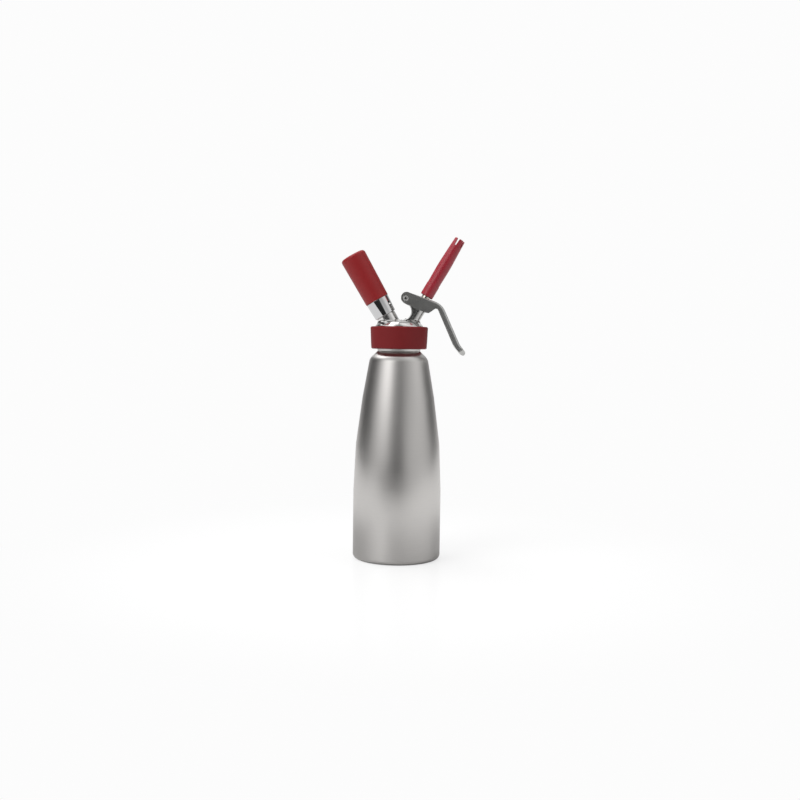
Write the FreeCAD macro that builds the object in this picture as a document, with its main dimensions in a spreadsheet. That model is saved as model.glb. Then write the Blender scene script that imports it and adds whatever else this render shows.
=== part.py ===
"""Whipped cream dispenser: a steel bottle, a screw-on head and its squeeze valve.

Frame: millimetres, +Z up along the bottle's axis, origin at the centre of the base ring, on the
surface that the bottle stands on. The lever and the nozzle lean towards +X, the gas charger's
holder towards -X, both by the same tilt.

Three local frames are used. In the valve frame local Z runs up the tilted valve axis, in the
charger frame it runs up the tilted charger axis, and the pivot frame sits on the lever's pivot.
"""
import FreeCAD, Part
import math
import operator
import os

import Sketcher

# Driving dimensions: name, value (mm, degrees or a count), meaning.
DRIVING = [
    # bottle
    ("bottle_radius", 45.0, "straight lower wall, outside"),
    ("cone_height", 118.4, "where the straight wall and the upper cone would meet"),
    ("cone_blend", 553.0, "radius that blends the wall into the cone"),
    ("shoulder_radius", 29.7, "corner of cone and shoulder"),
    ("shoulder_height", 205.7, "corner of cone and shoulder"),
    ("shoulder_blend", 11.0, "radius of that corner"),
    ("neck_radius", 21.3, "neck tube under its thread, outside"),
    ("neck_height", 214.9, "where the shoulder meets the neck"),
    ("rim_height", 229.5, "top of the bottle"),
    ("bottle_wall", 1.2, "sheet thickness of the bottle"),
    ("base_corner", 4.6, "radius between wall and base"),
    ("ring_inner", 36.0, "inner edge of the base ring"),
    ("recess_radius", 33.5, "raised middle of the base"),
    ("recess_height", 2.2, "how far the middle of the base is raised"),
    # threads: depth, clearance at crest and root
    ("neck_pitch", 4.0, "bottle thread"),
    ("neck_depth", 1.0, "bottle thread tooth height"),
    ("neck_tooth", 2.0, "bottle thread tooth width at its root"),
    ("neck_start", 217.0, "first tooth of the bottle thread"),
    ("neck_run", 8.0, "rise of the bottle thread"),
    ("charger_pitch", 2.5, "holder thread"),
    ("charger_depth", 0.75, "holder thread tooth height"),
    ("charger_tooth", 1.3, "holder thread tooth width at its root"),
    ("charger_start", 30.5, "first tooth of the spigot thread"),
    ("charger_run", 6.0, "rise of the spigot thread"),
    ("nozzle_pitch", 1.5, "nozzle thread"),
    ("nozzle_depth", 0.6, "nozzle thread tooth height"),
    ("nozzle_tooth", 0.8, "nozzle thread tooth width at its root"),
    ("nozzle_start", 56.5, "first tooth of the adapter thread"),
    ("nozzle_run", 4.5, "rise of the adapter thread"),
    ("thread_gap", 0.3, "radial room at crest and root of every thread"),
    ("thread_sunk", 0.1, "how far a tooth's root reaches into its core"),
    # head
    ("skirt_radius", 26.0, "outside of the head's threaded skirt"),
    ("skirt_bottom", 216.0, "lower edge of the skirt"),
    ("step_radius", 24.4, "upper cylinder of the head, above the skirt"),
    ("step_height", 236.4, "top of the skirt"),
    ("dome_edge", 238.9, "where the dome starts"),
    ("crown_radius", 20.6, "corner between dome side and dome top"),
    ("crown_height", 243.0, "corner between dome side and dome top"),
    ("dome_top", 245.3, "top of the dome"),
    ("cavity_radius", 18.3, "room inside the dome"),
    ("cavity_top", 241.3, "ceiling of that room"),
    ("seat_height", 231.6, "face that the head gasket seals on"),
    ("band_low", 28.3, "grip band, outside at the bottom"),
    ("band_high", 29.5, "grip band, outside at the top"),
    ("band_bottom", 215.3, "grip band, lower face"),
    ("band_top", 238.2, "grip band, upper face"),
    ("band_lip", 24.0, "grip band, lip under the skirt"),
    ("band_round", 1.7, "grip band, round edges"),
    ("gasket_inner", 18.7, "head gasket, hole"),
    ("gasket_outer", 22.3, "head gasket, outside"),
    ("gasket_thick", 2.0, "head gasket, thickness"),
    ("tab_reach", 3.2, "head gasket, pull tab, inwards from the ring"),
    ("tab_half", 3.0, "head gasket, half the width of the tab"),
    ("tab_root", 0.6, "head gasket, how far the tab runs into the ring"),
    ("face_gap", 0.05, "room between faces of pieces that move apart"),
    # valve arm, valve frame
    ("arm_tilt", 30.0, "lean of both arms from the bottle's axis"),
    ("valve_base", 222.3, "height at which the valve axis crosses the bottle's"),
    ("tube_radius", 7.1, "valve tube, outside"),
    ("tube_inner_end", 16.5, "inner end of the tube, the valve's seat"),
    ("tube_rim", 40.0, "outer end of the tube"),
    ("rim_radius", 7.3, "bead at the rim"),
    ("rim_bead", 1.3, "length of the bead"),
    ("stem_bore", 3.3, "bore that guides the stem"),
    ("spring_bore", 5.7, "wider bore for the spring"),
    ("spring_floor", 35.6, "floor of that bore"),
    ("arch_across", -13.08, "arch cut under the pivot, centre across the valve axis"),
    ("arch_along", 29.05, "arch cut, centre along the valve axis"),
    ("arch_radius", 8.9, "arch cut"),
    ("arch_round", 1.8, "round edges of the arch"),
    ("arch_flare", 0.2, "how far the round edges run on past the web"),
    ("lug_half", 6.4, "half the thickness of the lug's web"),
    ("lug_root", 2.6, "inner side of the lug, from the valve axis"),
    ("lug_foot", 23.8, "foot of the lug at its inner side, along the valve axis"),
    ("lug_foot_drop", 2.5, "how much lower the foot is under the arch's centre"),
    ("eye_half", 6.5, "half the width of the eye round the pivot"),
    ("eye_radius", 4.3, "eye round the pivot"),
    ("lug_reach", 9.2, "from the pivot to the side of the lug beside the valve"),
    ("lug_side", 3.7, "height of that side above the pivot"),
    # pivot and lever, pivot frame
    ("pivot_across", 6.13, "pivot, X in the object's frame"),
    ("pivot_height", 266.88, "pivot, Z in the object's frame"),
    ("rivet_radius", 2.12, "hollow rivet, outside"),
    ("rivet_bore", 1.3, "hollow rivet, hole"),
    ("rivet_head", 2.75, "rolled ends of the rivet"),
    ("rivet_head_thick", 0.5, "rolled ends of the rivet"),
    ("pivot_fit", 0.08, "radial room of the rivet in the lug"),
    ("lever_half", 9.1, "half the lever's width, outside"),
    ("lever_sheet", 1.4, "thickness of cheeks and plate"),
    ("pad_radius", 1.5, "pegs that push the valve's flange"),
    ("pad_inner", 5.35, "inner end of each peg, from the middle"),
    ("neck_slot", 5.2, "opening in the lever's plate round the adapter"),
    ("slot_shift", 1.8, "length that the opening is drawn out by"),
    ("washer_radius", 3.8, "pivot washers"),
    ("washer_gap", 0.05, "side room of a pivot washer"),
    # valve parts, valve frame
    ("stem_end", 10.6, "inner end of the stem"),
    ("stem_core", 2.2, "stem under seal and O-ring"),
    ("stem_radius", 2.9, "stem"),
    ("stem_hole", 1.6, "cream channel in the stem"),
    ("stem_floor", 17.5, "floor of that channel"),
    ("stem_top", 43.5, "outer end of the stem"),
    ("port_along", 18.9, "cross hole of the stem"),
    ("port_radius", 1.0, "cross hole of the stem"),
    ("flange_low", 12.4, "disc that carries the stem seal"),
    ("flange_thick", 1.5, "thickness of that disc"),
    ("flange_radius", 4.6, "radius of that disc"),
    ("seal_low", 5.2, "stem seal, inner end"),
    ("seal_high", 5.8, "stem seal, face"),
    ("groove_low", 21.8, "O-ring groove"),
    ("groove_length", 1.6, "O-ring groove"),
    ("spring_seat_thick", 1.0, "ring under the spring"),
    ("wire_radius", 0.5, "spring wire"),
    ("coil_radius", 4.5, "spring, to the middle of its wire"),
    ("coil_count", 3.5, "turns of the spring"),
    ("collar_radius", 6.6, "flange of the adapter"),
    ("collar_low", 44.5, "underside of that flange"),
    ("collar_top", 46.0, "top of that flange"),
    ("boss_radius", 3.6, "adapter inside the spring"),
    ("boss_end", 39.6, "lower end of the adapter"),
    ("adapter_neck", 4.3, "adapter between flange and thread"),
    ("adapter_core", 3.9, "adapter under its thread"),
    ("adapter_shoulder", 55.0, "start of the thread's core"),
    ("adapter_end", 62.2, "top of the adapter"),
    ("adapter_hole", 1.8, "cream channel in the adapter"),
    # nozzle, valve frame
    ("nozzle_low", 54.4, "lower edge of the nozzle"),
    ("nozzle_collar", 6.7, "thick lower part, outside"),
    ("collar_end", 68.5, "step above the thick part"),
    ("barrel_low", 6.4, "barrel above the step"),
    ("barrel_mid", 6.8, "barrel at its widest"),
    ("barrel_mid_along", 90.0, "where the barrel is widest"),
    ("nozzle_tip", 5.5, "tip, outside"),
    ("tip_along", 121.4, "end of the nozzle"),
    ("tip_hole", 4.0, "tip, inside"),
    ("insert_radius", 5.7, "metal insert, outside"),
    ("insert_low", 55.4, "metal insert, lower end"),
    ("insert_high", 62.3, "metal insert, upper end"),
    ("barrel_blend", 200.0, "radius that blends the barrel's two slopes"),
    ("barrel_wall", 1.5, "nozzle, wall of its barrel"),
    ("throat_radius", 3.0, "nozzle, channel above the seal"),
    ("throat_length", 1.7, "nozzle, length of that channel"),
    ("seal_room", 1.0, "room for the nozzle's seal above the insert"),
    ("slot_count", 5, "slots in the tip"),
    ("slot_width", 2.0, "slots in the tip"),
    ("slot_floor", 113.9, "lower end of the slots"),
    ("slot_turn", 246.0, "turn of the first slot about the valve axis"),
    # charger arm, charger frame
    ("charger_base", 225.2, "height at which the charger axis crosses the bottle's"),
    ("spigot_radius", 10.1, "spigot below its thread"),
    ("spigot_low", 17.0, "lower end of the spigot"),
    ("spigot_shoulder", 28.2, "shoulder under the thread"),
    ("spigot_core", 9.3, "spigot under its thread"),
    ("spigot_top", 38.5, "top of the spigot"),
    ("socket_radius", 4.65, "socket for the charger's neck"),
    ("socket_floor", 27.8, "floor of that socket"),
    ("socket_mouth", 6.6, "wider mouth of the socket"),
    ("socket_taper", 2.2, "height of the wider mouth"),
    ("holder_radius", 3.0, "piercing pin's holder"),
    ("holder_low", 19.5, "shoulder of the holder"),
    ("nipple_radius", 1.8, "outlet of the holder"),
    ("nipple_low", 14.6, "end of the outlet"),
    ("pin_radius", 0.9, "piercing pin"),
    ("pin_low", 23.5, "piercing pin, lower end"),
    ("pin_cone", 30.6, "piercing pin, where its cone starts"),
    ("pin_tip", 32.3, "piercing pin, point"),
    ("pin_hole", 0.35, "gas channel of the pin"),
    ("sleeve_valve_radius", 2.6, "rubber sleeve on the outlet, outside"),
    ("bulb_low", 29.8, "gas charger, tip of its neck"),
    ("bulb_high", 95.3, "gas charger, round end"),
    ("bulb_radius", 9.0, "gas charger"),
    ("bulb_neck", 4.3, "gas charger, neck"),
    ("bulb_wall", 1.5, "gas charger, wall"),
    ("bulb_shoulder", 39.6, "gas charger, where the neck widens"),
    ("bulb_full", 43.6, "gas charger, where it reaches full width"),
    ("holder_low_radius", 11.2, "chromed sleeve, lower edge"),
    ("holder_high_radius", 12.1, "chromed sleeve, where the grip starts"),
    ("sleeve_low", 28.5, "chromed sleeve, lower edge"),
    ("sleeve_shoulder", 45.8, "chromed sleeve, where the grip starts"),
    ("sleeve_inner", 9.35, "chromed sleeve, bore round the charger"),
    ("sleeve_under_grip", 11.0, "chromed sleeve, outside under the grip"),
    ("sleeve_floor", 95.6, "chromed sleeve, inside of its end"),
    ("sleeve_high", 96.8, "chromed sleeve, outside of its end"),
    ("thread_room", 38.9, "end of the threaded bore of the sleeve"),
    ("grip_low_radius", 12.45, "charger grip, lower end"),
    ("grip_high_radius", 13.45, "charger grip, upper end"),
    ("grip_high", 97.9, "charger grip, end"),
    ("grip_round", 3.0, "charger grip, round end"),
]

# Corners of the lever seen from the side, pivot frame: across, up, corner radius.
LEVER_CORNERS = {
    "side": [
        (-4.75, 8.7, 5.6), (36.9, -5.05, 18.0), (55.6, -46.2, 12.0), (61.9, -54.3, 3.0),
        (60.3, -58.4, 2.0), (57.0, -56.3, 3.0), (50.6, -49.0, 12.0), (32.45, -8.22, 2.5),
        (23.9, -14.4, 3.0), (13.9, -12.16, 10.0), (-4.75, -2.59, 5.6)],
    # hollow of the channel, for a plate as thick as its cheeks, open at the back and below
    "hollow": [
        (-9.0, 8.63, 0.0), (35.88, -6.18, 16.6), (54.3, -46.7, 4.0), (46.0, -46.7, 0.0),
        (25.0, -20.0, 0.0), (-9.0, -20.0, 0.0)],
}
CORNER_FIELDS = ("across", "up", "radius")


def lever_rows():
    """Return the lever's corners as rows for the sheet."""
    return [(f"lever_{name}{number}_{field}", value, f"lever, corner {number} of its {name}")
            for name, corners in LEVER_CORNERS.items()
            for number, corner in enumerate(corners, start=1)
            for field, value in zip(CORNER_FIELDS, corner)]


doc = FreeCAD.newDocument("WhippedCreamDispenser")


class Dim:
    """A size: its value now, and the expression that ties it to the sheet."""

    def __init__(self, value, text):
        self.value = value
        self.text = text

    def __add__(self, other):
        return combined(self, other, operator.add, "+")

    def __sub__(self, other):
        return combined(self, other, operator.sub, "-")

    def __mul__(self, other):
        return combined(self, other, operator.mul, "*")

    def __truediv__(self, other):
        return combined(self, other, operator.truediv, "/")

    def __neg__(self):
        return combined(as_dim(-1.0), self, operator.mul, "*")


def as_dim(size):
    """Return a plain number as a Dim, and a Dim as it is."""
    if isinstance(size, Dim):
        return size
    return Dim(float(size), repr(float(size)))


def combined(first, second, work, sign):
    """Join two sizes in one value and one expression."""
    first, second = as_dim(first), as_dim(second)
    return Dim(work(first.value, second.value), f"({first.text} {sign} {second.text})")


class SizeSheet:
    """The driving dimensions as attributes, each tied to its cell."""

    def __init__(self, table):
        self.sheet = doc.addObject("Spreadsheet::Sheet", "Sizes")
        for row, (name, value, meaning) in enumerate(table, start=1):
            self.sheet.set(f"A{row}", name)
            self.sheet.set(f"B{row}", str(value))
            self.sheet.set(f"C{row}", meaning)
            self.sheet.setAlias(f"B{row}", name)
        doc.recompute()
        for name, _, _ in table:
            setattr(self, name, Dim(float(self.sheet.get(name)), f"Sizes.{name}"))


size = SizeSheet(DRIVING + lever_rows())


def tie(thing, path, dim):
    """Set a property or constraint to a size's value and bind it to the size's expression."""
    thing.setExpression(path, as_dim(dim).text)


# ---------------------------------------------------------------- frames


def tilted(base, angle):
    """Placement whose local Z leans from the bottle's axis by the angle towards +X."""
    turn = FreeCAD.Rotation(FreeCAD.Vector(0, 1, 0), angle)
    return FreeCAD.Placement(FreeCAD.Vector(0, 0, base.value), turn)


UPRIGHT = FreeCAD.Placement()
VALVE = tilted(size.valve_base, size.arm_tilt.value)
CHARGER = tilted(size.charger_base, -size.arm_tilt.value)
PIVOT_POINT = FreeCAD.Vector(size.pivot_across.value, 0, size.pivot_height.value)
PIVOT = FreeCAD.Placement(PIVOT_POINT, FreeCAD.Rotation())
PIVOT_PIN = FreeCAD.Placement(PIVOT_POINT, FreeCAD.Rotation(FreeCAD.Vector(1, 0, 0), -90))

lean_sin = math.sin(math.radians(size.arm_tilt.value))
lean_cos = math.cos(math.radians(size.arm_tilt.value))
pivot_rise = size.pivot_height.value - size.valve_base.value
# The pivot seen in the valve frame: across and along the valve axis.
pivot_n = size.pivot_across.value * lean_cos - pivot_rise * lean_sin
pivot_s = size.pivot_across.value * lean_sin + pivot_rise * lean_cos


# ---------------------------------------------------------------- sketches and features


def new_body(label, placement=UPRIGHT):
    """Start a sub-part with its own name and place."""
    body = doc.addObject("PartDesign::Body", label)
    body.Label = label
    body.Placement = placement
    return body


def origin_plane(body, role):
    """Return one of the body's own origin planes or axes."""
    for feature in body.Origin.OriginFeatures:
        if feature.Role == role:
            return feature
    raise ValueError(role)


def new_sketch(body, role, offset=UPRIGHT):
    """Attach an empty sketch to one of the body's origin planes."""
    sketch = body.newObject("Sketcher::SketchObject", f"{body.Label}_sketch")
    sketch.AttachmentSupport = (origin_plane(body, role), [""])
    sketch.MapMode = "FlatFace"
    sketch.AttachmentOffset = offset
    return sketch


def pin_point(sketch, geometry, position, corner):
    """Fix a sketch point at a corner's place, tied to the sheet."""
    for kind, place in (("DistanceX", corner[0]), ("DistanceY", corner[1])):
        value = as_dim(place).value
        index = sketch.addConstraint(Sketcher.Constraint(kind, -1, 1, geometry, position, value))
        if isinstance(place, Dim):
            tie(sketch, f"Constraints[{index}]", place)


def corner_arc(before, here, after, radius):
    """Return where an arc in a corner starts and ends, its centre, and whether it turns left."""
    back = (before - here).normalize()
    ahead = (after - here).normalize()
    half = back.getAngle(ahead) / 2
    start = here + back * (radius / math.tan(half))
    end = here + ahead * (radius / math.tan(half))
    middle = here + (back + ahead).normalize() * (radius / math.sin(half))
    turns_left = back.cross(ahead).z < 0
    return start, end, middle, turns_left


def outline(body, corners, role="XZ_Plane", offset=UPRIGHT):
    """Draw a closed outline: corners are (across, up, radius), with radius 0 for a sharp one."""
    sketch = new_sketch(body, role, offset)
    points = [FreeCAD.Vector(as_dim(c[0]).value, as_dim(c[1]).value, 0) for c in corners]
    count = len(corners)
    radii = [as_dim(c[2]).value if len(c) > 2 else 0.0 for c in corners]
    starts, ends, arcs = [], [], {}
    for i, here in enumerate(points):
        start, end = here, here
        if radii[i] > 0:
            start, end, middle, left = corner_arc(points[i - 1], here, points[(i + 1) % count], radii[i])
            arcs[i] = (middle, left)
        starts.append(start)
        ends.append(end)
    for i in range(count):
        sketch.addGeometry(Part.LineSegment(ends[i], starts[(i + 1) % count]), False)
    for i in range(count):
        line_in, line_out = (i - 1) % count, i
        if i not in arcs:
            sketch.addConstraint(Sketcher.Constraint("Coincident", line_in, 2, line_out, 1))
            pin_point(sketch, line_out, 1, corners[i])
            continue
        middle, left = arcs[i]
        first, last = (starts[i], ends[i]) if left else (ends[i], starts[i])
        angles = [math.atan2(p.y - middle.y, p.x - middle.x) for p in (first, last)]
        if angles[1] < angles[0]:
            angles[1] += 2 * math.pi
        circle = Part.Circle(middle, FreeCAD.Vector(0, 0, 1), radii[i])
        arc = sketch.addGeometry(Part.ArcOfCircle(circle, angles[0], angles[1]), False)
        point = sketch.addGeometry(Part.Point(points[i]), True)
        at_start, at_end = (1, 2) if left else (2, 1)
        sketch.addConstraint(Sketcher.Constraint("Tangent", line_in, 2, arc, at_start))
        sketch.addConstraint(Sketcher.Constraint("Tangent", line_out, 1, arc, at_end))
        sketch.addConstraint(Sketcher.Constraint("PointOnObject", point, 1, line_in))
        sketch.addConstraint(Sketcher.Constraint("PointOnObject", point, 1, line_out))
        index = sketch.addConstraint(Sketcher.Constraint("Radius", arc, radii[i]))
        tie(sketch, f"Constraints[{index}]", corners[i][2])
        pin_point(sketch, point, 1, corners[i])
    return sketch


def circle_sketch(body, centre, radius, role="XZ_Plane", offset=UPRIGHT):
    """Draw one circle."""
    sketch = new_sketch(body, role, offset)
    middle = FreeCAD.Vector(as_dim(centre[0]).value, as_dim(centre[1]).value, 0)
    shape = Part.Circle(middle, FreeCAD.Vector(0, 0, 1), as_dim(radius).value)
    index = sketch.addGeometry(shape, False)
    pin_point(sketch, index, 3, centre)
    constraint = sketch.addConstraint(Sketcher.Constraint("Radius", index, as_dim(radius).value))
    tie(sketch, f"Constraints[{constraint}]", radius)
    return sketch


def feature(body, kind, name, sketch):
    """Add a sketch-based feature to a body."""
    made = body.newObject(f"PartDesign::{kind}", f"{body.Label}_{name}")
    made.Profile = sketch
    sketch.Visibility = False
    return made


def check_change(body, before, grows, name):
    """Stop if a feature has left the body's volume as it was, or changed it the wrong way."""
    doc.recompute()
    change = body.Shape.Volume - before
    if (change <= 0) if grows else (change >= 0):
        raise RuntimeError(f"{body.Label} {name} changed the volume by {change:.3f}")


def volume(body):
    """Return the body's volume so far."""
    return 0.0 if body.Shape.isNull() else body.Shape.Volume


def turned(body, name, sketch, cut=False):
    """Revolve a sketch about its own vertical axis, adding or cutting."""
    before = volume(body)
    made = feature(body, "Groove" if cut else "Revolution", name, sketch)
    made.ReferenceAxis = (sketch, ["V_Axis"])
    made.Angle = 360
    check_change(body, before, not cut, name)
    return made


def extruded(body, name, sketch, length, cut=False, symmetric=True, reverse=False):
    """Pad or pocket a sketch."""
    before = volume(body)
    made = feature(body, "Pocket" if cut else "Pad", name, sketch)
    made.Midplane = symmetric
    made.Reversed = reverse
    made.Length = as_dim(length).value
    tie(made, "Length", length)
    check_change(body, before, not cut, name)
    return made


def helical(body, name, sketch, pitch, height):
    """Sweep a sketch along a right-handed helix about its vertical axis."""
    before = volume(body)
    made = feature(body, "AdditiveHelix", name, sketch)
    made.ReferenceAxis = (sketch, ["V_Axis"])
    made.Mode = "pitch-height-angle"
    made.Pitch = as_dim(pitch).value
    made.Height = as_dim(height).value
    tie(made, "Pitch", pitch)
    tie(made, "Height", height)
    made.Angle = 0
    made.LeftHanded = False
    made.Reversed = False
    check_change(body, before, True, name)
    return made


def thread(body, core, depth, width, pitch, start, run, inside=False):
    """Add a screw thread on a round core, outside it or inside a bore."""
    out = -1.0 if inside else 1.0
    root, crest = core - size.thread_sunk * out, core + depth * out
    half_root, half_crest = width / 2, width / 4
    tooth = [(root, start - half_root), (crest, start - half_crest),
             (crest, start + half_crest), (root, start + half_root)]
    helical(body, "thread", outline(body, tooth), pitch, run)


def ring(label, placement, inner, outer, low, high, edge=0.2):
    """Make a plain ring: a washer, seal or sleeve."""
    body = new_body(label, placement)
    turned(body, "ring", outline(body, [
        (inner, low), (outer, low, edge), (outer, high, edge), (inner, high)]))
    return body


# ---------------------------------------------------------------- bottle


def make_bottle():
    """Deep-drawn bottle: raised base, straight wall, long cone, shoulder and threaded neck."""
    body = new_body("bottle")
    outside = [
        (0, size.recess_height), (size.recess_radius, size.recess_height, 2.0),
        (size.ring_inner, 0, 1.5), (size.bottle_radius, 0, size.base_corner),
        (size.bottle_radius, size.cone_height, size.cone_blend),
        (size.shoulder_radius, size.shoulder_height, size.shoulder_blend),
        (size.neck_radius, size.neck_height, 1.5), (size.neck_radius, size.rim_height),
        (0, size.rim_height)]
    turned(body, "outside", outline(body, outside))
    rim = size.rim_height.value
    shell = body.newObject("PartDesign::Thickness", "bottle_shell")
    base = body.Tip if body.Tip != shell else body.Group[-2]
    top = [f"Face{i}" for i, face in enumerate(base.Shape.Faces, start=1)
           if face.BoundBox.ZMin > rim - 0.01]
    before = base.Shape.Volume
    shell.Base = (base, top)
    shell.Value = size.bottle_wall.value
    tie(shell, "Value", size.bottle_wall)
    shell.Reversed = True
    shell.Join = 1
    body.Tip = shell
    check_change(body, before, False, "shell")
    thread(body, size.neck_radius, size.neck_depth, size.neck_tooth,
           size.neck_pitch, size.neck_start, size.neck_run)
    return body


def make_head_gasket():
    """Flat silicone ring between the bottle's rim and the head, with a tab to pull it out by."""
    body = new_body("head_gasket")
    low = size.rim_height + size.face_gap
    high = low + size.gasket_thick
    turned(body, "ring", outline(body, [
        (size.gasket_inner, low), (size.gasket_outer, low, 0.4),
        (size.gasket_outer, high, 0.4), (size.gasket_inner, high)]))
    half = size.tab_half
    tab_in = size.gasket_inner - size.tab_reach
    tab_out = size.gasket_inner + size.tab_root
    level = FreeCAD.Placement(FreeCAD.Vector(0, 0, low.value), FreeCAD.Rotation())
    tab = outline(body, [(-half, tab_in, 1.5), (half, tab_in, 1.5), (half, tab_out), (-half, tab_out)],
                  role="XY_Plane", offset=level)
    extruded(body, "tab", tab, size.gasket_thick, symmetric=False)
    return body


# ---------------------------------------------------------------- head


def drill(body, name, frame_base, angle, radius, low, high):
    """Cut a round hole along one of the tilted axes, in a body in the upright frame."""
    lean = FreeCAD.Rotation(FreeCAD.Vector(0, 0, 1), -angle)
    offset = FreeCAD.Placement(FreeCAD.Vector(0, frame_base.value, 0), lean)
    sketch = outline(body, [(0, low), (radius, low), (radius, high), (0, high)], offset=offset)
    turned(body, name, sketch, cut=True)


def make_head_shell():
    """Domed steel head: threaded skirt, gasket seat, and sockets for both arms."""
    body = new_body("head_shell")
    bore = size.neck_radius + size.neck_depth + size.thread_gap
    side = [
        (0, size.dome_top), (size.crown_radius, size.crown_height, 5.0),
        (size.step_radius, size.dome_edge, 1.2), (size.step_radius, size.step_height),
        (size.skirt_radius, size.step_height), (size.skirt_radius, size.skirt_bottom),
        (bore, size.skirt_bottom, 0.4), (bore, size.seat_height),
        (size.cavity_radius, size.seat_height, 0.5), (size.cavity_radius, size.cavity_top, 3.0),
        (0, size.cavity_top)]
    turned(body, "shell", outline(body, side))
    tilt = size.arm_tilt.value
    drill(body, "valve_hole", size.valve_base, tilt, size.tube_radius,
          size.tube_inner_end - 2, size.tube_rim)
    drill(body, "charger_hole", size.charger_base, -tilt, size.spigot_radius,
          size.spigot_low, size.spigot_top)
    thread(body, bore, size.neck_depth, size.neck_tooth, size.neck_pitch,
           size.neck_start + size.neck_pitch / 2, size.neck_run, inside=True)
    return body


def make_grip_band():
    """Silicone band round the head, hooked under the skirt and over its shoulder."""
    body = new_body("grip_band")
    turned(body, "band", outline(body, [
        (size.band_lip, size.band_bottom, 0.3), (size.band_low, size.band_bottom, size.band_round),
        (size.band_high, size.band_top, size.band_round), (size.step_radius, size.band_top),
        (size.step_radius, size.step_height), (size.skirt_radius, size.step_height),
        (size.skirt_radius, size.skirt_bottom), (size.band_lip, size.skirt_bottom)]))
    return body


def make_valve_arm():
    """Steel tube for the valve, with the arched lug that carries the lever's pivot."""
    body = new_body("valve_arm", VALVE)
    turned(body, "tube", outline(body, [
        (0, size.tube_inner_end), (size.tube_radius, size.tube_inner_end, 0.4),
        (size.tube_radius, size.tube_rim - size.rim_bead),
        (size.rim_radius, size.tube_rim - size.rim_bead + 0.2),
        (size.rim_radius, size.tube_rim, 0.4), (0, size.tube_rim)]))
    far = pivot_n - size.eye_radius.value
    low = pivot_s - size.eye_radius.value
    near = pivot_n + size.lug_reach.value
    wall = -size.lug_root.value
    lug = [
        (far, pivot_s + size.eye_radius.value + 0.3, size.eye_radius - 0.1),
        (near, pivot_s + size.lug_side.value, 2.0), (near, size.tube_rim - 0.1),
        (wall, size.tube_rim - 0.1), (wall, size.lug_foot),
        (size.arch_across, size.lug_foot - size.lug_foot_drop),
        (size.arch_across, low), (far, low, size.eye_radius - 0.1)]
    extruded(body, "lug", outline(body, lug), size.lug_half * 2)
    # the arch is turned about its own axis, and flares out at both sides of the web
    centre = FreeCAD.Vector(size.arch_across.value, 0, size.arch_along.value)
    flare = size.lug_half + size.arch_flare
    reach = size.arch_radius + size.arch_round + size.arch_flare
    arch = outline(body, [
        (0, -size.lever_half), (reach, -size.lever_half), (reach, -flare),
        (size.arch_radius, -flare, size.arch_round), (size.arch_radius, flare, size.arch_round),
        (reach, flare), (reach, size.lever_half), (0, size.lever_half)],
        role="XY_Plane", offset=FreeCAD.Placement(centre, FreeCAD.Rotation()))
    turned(body, "arch", arch, cut=True)
    eye = circle_sketch(body, (pivot_n, pivot_s), size.eye_radius)
    extruded(body, "eye", eye, size.eye_half * 2)
    turned(body, "stem_bore", outline(body, [
        (0, size.tube_inner_end - 1), (size.stem_bore, size.tube_inner_end - 1),
        (size.stem_bore, size.spring_floor), (size.spring_bore, size.spring_floor),
        (size.spring_bore, size.tube_rim + 1), (0, size.tube_rim + 1)]), cut=True)
    pivot_hole = circle_sketch(body, (pivot_n, pivot_s), size.rivet_radius + size.pivot_fit)
    extruded(body, "pivot_hole", pivot_hole, size.eye_half * 4, cut=True)
    return body


def make_charger_spigot():
    """Threaded steel spigot that the charger's holder screws onto."""
    body = new_body("charger_spigot", CHARGER)
    mouth = size.spigot_top - size.socket_taper
    turned(body, "spigot", outline(body, [
        (size.holder_radius, size.spigot_low), (size.spigot_radius, size.spigot_low),
        (size.spigot_radius, size.spigot_shoulder, 0.4), (size.spigot_core, size.spigot_shoulder),
        (size.spigot_core, size.spigot_top, 0.4), (size.socket_mouth, size.spigot_top),
        (size.socket_radius, mouth), (size.socket_radius, size.socket_floor),
        (size.holder_radius, size.socket_floor)]))
    thread(body, size.spigot_core, size.charger_depth, size.charger_tooth,
           size.charger_pitch, size.charger_start, size.charger_run)
    return body


def make_pin_holder():
    """Brass plug in the spigot that holds the piercing pin and ends in the gas outlet."""
    body = new_body("pin_holder", CHARGER)
    turned(body, "plug", outline(body, [
        (size.pin_hole, size.nipple_low), (size.nipple_radius, size.nipple_low, 0.3),
        (size.nipple_radius, size.holder_low), (size.holder_radius, size.holder_low, 0.3),
        (size.holder_radius, size.socket_floor), (size.pin_radius, size.socket_floor),
        (size.pin_radius, size.pin_low), (size.pin_hole, size.pin_low)]))
    return body


def make_piercing_pin():
    """Hollow steel needle that opens the charger."""
    body = new_body("piercing_pin", CHARGER)
    turned(body, "needle", outline(body, [
        (size.pin_hole, size.pin_low), (size.pin_radius, size.pin_low),
        (size.pin_radius, size.pin_cone), (size.pin_hole, size.pin_tip)]))
    return body


# ---------------------------------------------------------------- valve


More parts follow.
